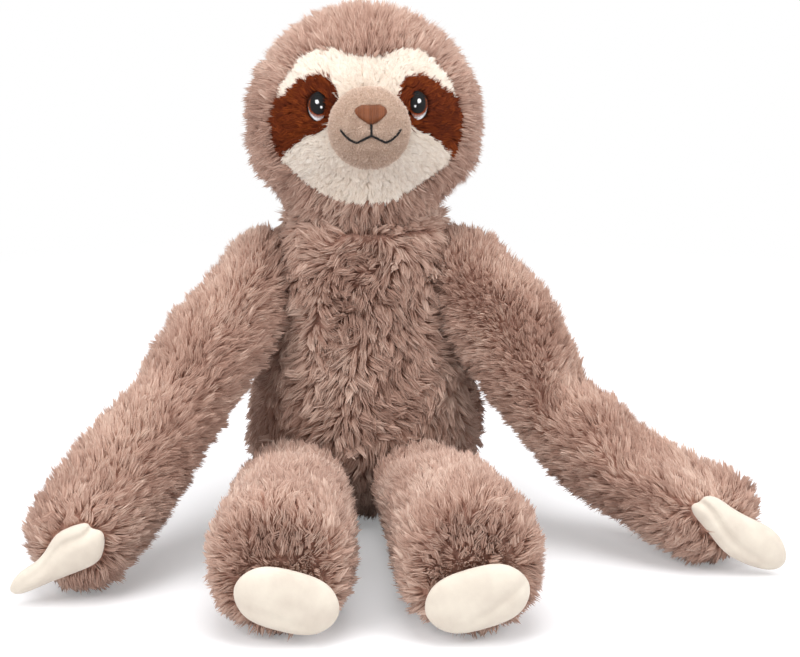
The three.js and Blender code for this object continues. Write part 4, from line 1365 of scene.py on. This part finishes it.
# %% Foot claws
FOOT_CLAW = {
    "along": (-27, -20, -10, 0, 10, 20, 27),
    "middle": (0, 0, 0, 0, 0, 0, 0),
    "half_width": (11, 14.2, 16, 16.4, 16, 14.2, 11),
    "half_depth": (4, 5.5, 6.5, 6.5, 6.5, 5.5, 4),
    "notch": 0,
}
FOOT_CLAWS = {
    "right": {
        "fold": (-8, -8.5, -9, -9.5, -10, -11, -12),
        "fold_depth": (1.0, 1.3, 1.4, 1.2, 0.7, 0.1, 0.0),
    },
    "left": {
        "fold": (-12, -12, -11, -9, -5, -1, 2),
        "fold_depth": (0.0, 0.1, 0.7, 1.4, 1.7, 1.4, 0.6),
    },
}
FOOT_ROLL = {"right": math.radians(-15), "left": math.radians(17)}
FOOT_CLAW_DEPTH = 6.5 * MM
FOOT_CLAW_SHIFT = {"right": Vector((4.5, 0, 0.6)) * MM, "left": Vector((2.3, 0, 1.2)) * MM}

for side in SIDES:
    low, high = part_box(f"foot_claw_cover_{side}")
    origin = (low + high) / 2 + FOOT_CLAW_SHIFT[side]
    origin.y = low.y + FOOT_CLAW_DEPTH
    roll = Matrix.Rotation(-FOOT_ROLL[side], 3, "Y")
    name = f"foot_claw_{side}"
    claws[name] = claw_piece(
        name, {**FOOT_CLAW, **FOOT_CLAWS[side]}, origin,
        roll @ Vector((1, 0, 0)), roll @ Vector((0, 0, 1)), OUTWARD,
    )
print("foot rolls in degrees:", {side: round(math.degrees(FOOT_ROLL[side])) for side in SIDES})

# %% [markdown]
# ## Kinds of pile
#
# The toy has four fabrics. The taupe one is long, and lies looser on the body than on the
# limbs and the hood. The face's cream and brown ones are short and even, and the muzzle
# has only a nap. A kind of pile is a table: how long and how many the hairs are, how far
# apart the locks and the tufts stand, how far hairs lean at the root and at the tip, and
# how much they gather, scatter, stray, swirl and change in tone. Each kind is written as
# what changes from the one before it.

# %% Kinds of pile
LONG = {
    "length": 11 * MM, "per_mm2": 1.45, "lock_gap": 2.6 * MM, "width": 0.4 * MM,
    "gather": 0.18, "scatter": 0.6 * MM, "root_lean": 0.65, "tip_lean": 1.2,
    "stray": 0.2, "swirl": 0.85, "swirl_size": 20 * MM, "curl": 0.3, "tone_size": 40 * MM,
    "tuft_gap": 7 * MM, "tuft_gather": 0.2, "mottle": 0.16,
}
SOFT = {
    **LONG, "length": 9.0 * MM, "per_mm2": 2.0, "gather": 0.16, "scatter": 0.6 * MM,
    "width": 0.37 * MM, "lock_gap": 2.4 * MM, "root_lean": 0.5, "tip_lean": 1.15, "swirl": 0.4,
    "swirl_size": 30 * MM, "tuft_gap": 6 * MM, "tuft_gather": 0.15, "stray": 0.3,
}
LEG = {**SOFT, "per_mm2": 1.55, "width": 0.42 * MM}
HOOD = {
    **SOFT, "length": 9.0 * MM, "per_mm2": 1.8, "swirl": 0.25, "root_lean": 0.3,
    "tip_lean": 0.75, "gather": 0.15, "tuft_gather": 0.1,
}
SHORT = {
    **LONG, "length": 4.6 * MM, "per_mm2": 7, "lock_gap": 1.6 * MM, "width": 0.38 * MM,
    "scatter": 0.5 * MM, "stray": 0.25, "swirl": 0.2, "root_lean": 0.6, "tip_lean": 1.15,
    "gather": 0.02, "tuft_gap": 4 * MM, "tuft_gather": 0.0,
}
MEDIUM = {
    **SHORT, "length": 5.6 * MM, "lock_gap": 2.2 * MM, "width": 0.42 * MM, "per_mm2": 6,
    "gather": 0.15, "tuft_gather": 0.05,
}
NAP = {
    **SHORT, "length": 1.5 * MM, "lock_gap": 1.2 * MM, "width": 0.34 * MM, "per_mm2": 4.0,
    "scatter": 0.15 * MM, "root_lean": 0.8, "tip_lean": 1.35, "gather": 0.4,
}
kinds = (LONG, SOFT, LEG, HOOD, SHORT, MEDIUM, NAP)
print("pile lengths in mm:", [round(kind["length"] / MM, 1) for kind in kinds])

# %% [markdown]
# ## Combing
#
# A pile lies the way it was last stroked. On this toy it runs away from the muzzle over
# the head, down and outward over the body, with waves across the chest, and back along the
# limbs. Round each claw it stands away from it on all sides, so the cream shows clear.

# %% Combing the head and the body
DOWN = np.array((0, 0, -1.0))
PART_WIDTH = 2.5 * MM
PART_TOP = -20 * MM
PART_STRENGTH = 0.5
PART_STILLNESS = 0.7
BODY_HALF_WIDTH = 60 * MM
CHEST = (90 * MM, 160 * MM)
WAVE_HEIGHT = 9 * MM
WAVE_WIDTH = 25 * MM
WAVE_STRENGTH = 0.9
CHEST_LIFT = 0.5
OUT_STRENGTH = 0.6


def comb_head(points, normals):
    """Away from the muzzle over the face and the crown, and down at the back."""
    away = unit(points - np.array(MUZZLE_CENTRE))
    behind = np.clip((points[:, 1] - HEAD_CENTRE.y) / HEAD_HALF_SIZES.y + 0.5, 0, 1)[:, None]
    return away * (1 - behind) + DOWN * behind


def comb_face(points, normals):
    """As on the head, and parted at the seam under the chin."""
    local = in_head(points)
    near = np.exp(-((local[:, 0] / PART_WIDTH) ** 2))
    part = PART_STRENGTH * near * (local[:, 2] < PART_TOP)
    aside = np.zeros_like(points)
    aside[:, 0] = np.sign(local[:, 0]) * part
    return comb_head(points, normals) * (1 - PART_STILLNESS * part[:, None]) + aside


def comb_torso(points, normals):
    """Down, outward from the middle of the front, and in waves across the chest."""
    out, waves = np.zeros_like(points), np.zeros_like(points)
    out[:, 0] = points[:, 0] / BODY_HALF_WIDTH
    waves[:, 0] = np.sin(points[:, 2] / WAVE_HEIGHT + points[:, 0] / WAVE_WIDTH)
    high = ease(points[:, 2], *CHEST)[:, None]
    return DOWN * (1 - CHEST_LIFT * high) + OUT_STRENGTH * out + WAVE_STRENGTH * waves * high


print("the chest's waves repeat every", round(2 * math.pi * WAVE_HEIGHT / MM), "mm")

# %% Combing the limbs
CLAW_REACH = {"arm": 22 * MM, "leg": 45 * MM}
CLAW_CORE_SHARE = 0.3
BACK_LEAN = {"arm": 0.45, "leg": 0.6}
LEG_RISE = np.array((0, 0, 0.35))


def comb_limb(limb, start, end, claw):
    """A little back towards the limb's root, but away from the claw where that is near."""
    ahead = -BACK_LEAN[limb] * np.array((end - start).normalized())
    if limb == "leg":
        ahead = ahead + LEG_RISE
    reach = CLAW_REACH[limb]
    tree = tree_of(claw)

    def comb(points, normals):
        away = np.empty_like(points)
        for index, point in enumerate(points):
            away[index] = point - np.array(tree.find_nearest(point)[0])
        distance = np.linalg.norm(away, axis=1)[:, None]
        near = 1 - ease(distance, CLAW_CORE_SHARE * reach, reach)
        return ahead * (1 - near) + away / distance * near

    return comb


print("hair stands away from a claw within", CLAW_REACH["leg"] / MM, "mm on the feet")

# %% [markdown]
# ## Sorting and clearing
#
# One sowing covers a whole skin, so that locks run on over the seams. Each hair then goes
# to the panel whose fabric lies nearest above its root, because every panel is a piece of
# its own. Hairs that would grow under a claw, the muzzle or an eye, or hang over its
# front, are left out, as the seam allowance is shaved there on a real toy.

# %% Sorting and clearing
def panel_of(hairs, nodes, lift=PILE_INSET):
    """For each hair, the index of the node whose surface lies nearest above its root."""
    roots, normals = hairs[0], hairs[3]
    trees = [tree_of(NODES[node]) for node in nodes]
    found = np.empty(len(roots), int)
    for index, place in enumerate(roots + normals * lift):
        gaps = [tree.find_nearest(place)[3] for tree in trees]
        found[index] = int(np.argmin(gaps))
    return found


INWARD = Vector((0, 1, 0))
CLEAR_REACH = 6 * MM
CLEAR_COVER = 9 * MM


def clear_of(hairs, blockers, reach=CLEAR_REACH, cover=CLEAR_COVER):
    """Which hairs neither grow under a piece, nor run into it, nor hang over its front."""
    roots, bends, tips, normals, _ = hairs
    keep = np.ones(len(roots), bool)
    for piece in blockers:
        tree = tree_of(piece)
        places = read_array(piece.data.vertices, "co", 3)
        low, high = places.min(0) - reach, places.max(0) + reach
        close = np.flatnonzero(((roots > low) & (roots < high)).all(1) & keep)
        for index in close:
            root, bend, tip = Vector(roots[index]), Vector(bends[index]), Vector(tips[index])
            hits = (
                tree.ray_cast(root, Vector(normals[index]), reach)[0],
                tree.ray_cast(root, (bend - root).normalized(), (bend - root).length)[0],
                tree.ray_cast(bend, (tip - bend).normalized(), (tip - bend).length)[0],
                tree.ray_cast(bend, INWARD, cover)[0],
            )
            keep[index] = not any(hits)
    return keep


print("no hair grows within", CLEAR_REACH / MM, "mm under a claw")

# %% [markdown]
# ## Cloth under the face
#
# Where the face's short pile thins out, its backing must not show in the hood's taupe. The
# head has one backing for all its panels, so its faces are dyed in three colours, by the
# panel that lies nearest to each.

# %% Panels of the head's backing
HEAD_PANELS = (
    "head_hood", "brow_panel", "cheek_panel_right", "cheek_panel_left",
    "eye_patch_right", "eye_patch_left",
)
PANEL_BACKINGS = (0, 1, 1, 1, 2, 2)

centres = read_array(head_skin.data.polygons, "center", 3).astype(float)
facings = read_array(head_skin.data.polygons, "normal", 3).astype(float)
face_panels = panel_of((centres, None, None, facings), HEAD_PANELS)
for material in (CREAM_BACKING, BROWN_BACKING):
    head_skin.data.materials.append(material)
backings = np.array(PANEL_BACKINGS)[face_panels]
head_skin.data.polygons.foreach_set("material_index", backings)
print("backing faces in taupe, cream and brown:", np.bincount(backings).tolist())

# %% [markdown]
# ## Growing the pile
#
# Every skin is now sown, combed, cleared and sorted in turn. The same numbers come out of
# the seeded generator on each run, so the order of these cells is part of the result.

# %% Body pile
rng = np.random.default_rng(7)
piles = []


def add_pile(name, hairs, keep, pile, material, body):
    """Makes a piece of the hairs that are kept, and notes the body that it moves with."""
    part = chosen_hairs(hairs, keep)
    piles.append((hair_mesh(name, part, pile, material), body))


torso_hairs = lay_hairs(torso_skin, comb_torso, LONG, rng)
panel = panel_of(torso_hairs, ("torso_front_panel", "torso_back_panel"))
for index, name in enumerate(("torso_front_pile", "torso_back_pile")):
    add_pile(name, torso_hairs, panel == index, LONG, LONG_PILE, "torso")
print("hairs on the body:", len(torso_hairs[0]))

# %% Limb piles
def middle_of(node):
    return sum(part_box(node), Vector()) / 2


for side in SIDES:
    hand = middle_of(f"forearm_cover_{side}")
    hand_claw = claws[f"hand_claw_{side}"]
    comb = comb_limb("arm", PIVOTS[f"shoulder_raise_{side}"], hand, hand_claw)
    hairs = lay_hairs(arm_skins[side], comb, SOFT, rng)
    hairs = chosen_hairs(hairs, clear_of(hairs, [hand_claw]))
    panel = panel_of(hairs, [f"{part}_cover_{side}" for part in LIMB_PARTS])
    for index, part in enumerate(LIMB_PARTS):
        add_pile(f"{part}_pile_{side}", hairs, panel == index, SOFT, LONG_PILE, f"{part}_{side}")
    foot = middle_of(f"foot_claw_cover_{side}")
    foot_claw = claws[f"foot_claw_{side}"]
    comb = comb_limb("leg", PIVOTS[f"leg_lift_{side}"], foot, foot_claw)
    hairs = lay_hairs(leg_skins[side], comb, LEG, rng)
    keep = clear_of(hairs, [foot_claw])
    add_pile(f"leg_pile_{side}", hairs, keep, LEG, LONG_PILE, f"leg_{side}")
print("piles on the body and limbs:", len(piles))

# %% Hood pile
head_hairs = lay_hairs(head_skin, comb_head, HOOD, rng)
panel = panel_of(head_hairs, HEAD_PANELS)
hood = chosen_hairs(head_hairs, panel == 0)
behind = hood[0][:, 1] > HEAD_CENTRE.y
add_pile("hood_front_pile", hood, ~behind, HOOD, LONG_PILE, "head")
add_pile("hood_back_pile", hood, behind, HOOD, LONG_PILE, "head")
print("hairs on the hood:", len(hood[0]))

# %% Face pile
FACE_COVER = 2 * MM


def grow_face(pile, material, panels):
    """Grows a pile over the face, and keeps it on the panels of its own fabric."""
    hairs = lay_hairs(head_skin, comb_face, pile, rng)
    hairs = chosen_hairs(hairs, hairs[0][:, 1] < HEAD_CENTRE.y)
    hairs = chosen_hairs(hairs, clear_of(hairs, [muzzle, *eye_pads.values()], cover=FACE_COVER))
    panel = panel_of(hairs, HEAD_PANELS)
    for node, name in panels:
        add_pile(name, hairs, panel == HEAD_PANELS.index(node), pile, material, "head")


grow_face(SHORT, CREAM_PILE, (
    ("brow_panel", "brow_pile"),
    ("cheek_panel_right", "cheek_pile_right"),
    ("cheek_panel_left", "cheek_pile_left"),
))
grow_face(MEDIUM, BROWN_PILE, (
    ("eye_patch_right", "eye_patch_pile_right"),
    ("eye_patch_left", "eye_patch_pile_left"),
))
print("piles with the face's:", len(piles))

# %% Nap of the muzzle
MUZZLE_EDGE = -50 * MM
NAP_REACH = 3 * MM
NAP_COVER = 1 * MM

nap = lay_hairs(muzzle, comb_head, NAP, rng)
nap = chosen_hairs(nap, in_head(nap[0])[:, 1] < MUZZLE_EDGE)
keep = clear_of(nap, [nose, mouth], NAP_REACH, NAP_COVER)
add_pile("muzzle_nap", nap, keep, NAP, NAP_PILE, "head")
print("hairs:", {piece.name: len(piece.data.vertices) // HAIR_CORNERS for piece, _ in piles})

# %% [markdown]
# ## What rides on what
#
# Each piece hides the frame's solids that it stands for. Every piece but those of the arms is
# stiff enough to ride on one body, and is tied to the body that it moves with. An arm's
# backing and piles only have their places baked into their meshes, and ride on no body.


def bend_arm(piece):
    """Bakes an arm piece's place into its mesh, and ties it to no body."""
    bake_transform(piece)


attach(torso_skin, "torso")
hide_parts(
    "torso_front_panel", "torso_back_panel", "torso_stuffing", "seat_pellet_bag"
)
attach(head_skin, "head")
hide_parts(*HEAD_PANELS, "head_stuffing")
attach(muzzle, "head")
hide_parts("muzzle_cover", "muzzle_stuffing")
for side in SIDES:
    bend_arm(arm_skins[side])
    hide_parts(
        f"upper_arm_cover_{side}", f"upper_arm_stuffing_{side}",
        f"forearm_cover_{side}", f"forearm_stuffing_{side}",
    )
    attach(leg_skins[side], f"leg_{side}")
    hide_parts(f"leg_cover_{side}", f"leg_stuffing_{side}")
    for limb in ("hand", "foot"):
        claw = claws[f"{limb}_claw_{side}"]
        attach(claw, f"{limb}_claw_{side}")
        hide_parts(f"{limb}_claw_cover_{side}", f"{limb}_claw_padding_{side}")
    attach(eye_pads[side], "head")
print("padded pieces:", len(skins) + len(claws) + 1)

for piece, body in piles:
    if body.startswith(LIMB_PARTS):
        bend_arm(piece)
    else:
        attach(piece, body)
for piece, node in thread_pieces:
    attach(piece, "head")
    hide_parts(node)
print("piles:", len(piles), "and embroidered pieces:", len(thread_pieces))

# %% [markdown]
# ## Seam threads
#
# The rings of thread at the neck, shoulders and hips come from the frame and stay as they
# are. They are hidden in the pile, but they show when a limb is lifted, so they get a
# twisted thread of nearly the pile's colour.

# %% Seams
def seam_material(name, dark, light):
    """Twisted cotton thread: the tone changes from ply to ply."""
    material = new_material(name)
    place = add_node(material, "ShaderNodeTexCoord")
    plies = add_node(material, "ShaderNodeTexNoise", Scale=900.0, Detail=2.0)
    tint = add_ramp(material, ((0.3, dark), (0.7, light)))
    thread = add_surface(material, roughness=0.8, specular=0.2)
    link(material, place.outputs["Object"], plies.inputs["Vector"])
    link(material, plies.outputs[0], tint.inputs[0])
    link(material, tint.outputs["Color"], thread.inputs["Base Color"])
    return material


SEAM_THREAD = seam_material("seam_thread_plies", srgb(150, 112, 96), srgb(182, 142, 124))
rings = [node for name, node in NODES.items() if "seam_thread" in name]
for ring in rings:
    ring.data.materials.clear()
    ring.data.materials.append(SEAM_THREAD)
print("seam threads:", [ring.name for ring in rings])

# %% [markdown]
# ## Sizes
#
# The shown toy should fill the frame's box and pass it by little more than its hair. The
# box of the shown toy is measured here.

# %% Sizes
bpy.context.view_layer.update()
low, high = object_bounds()
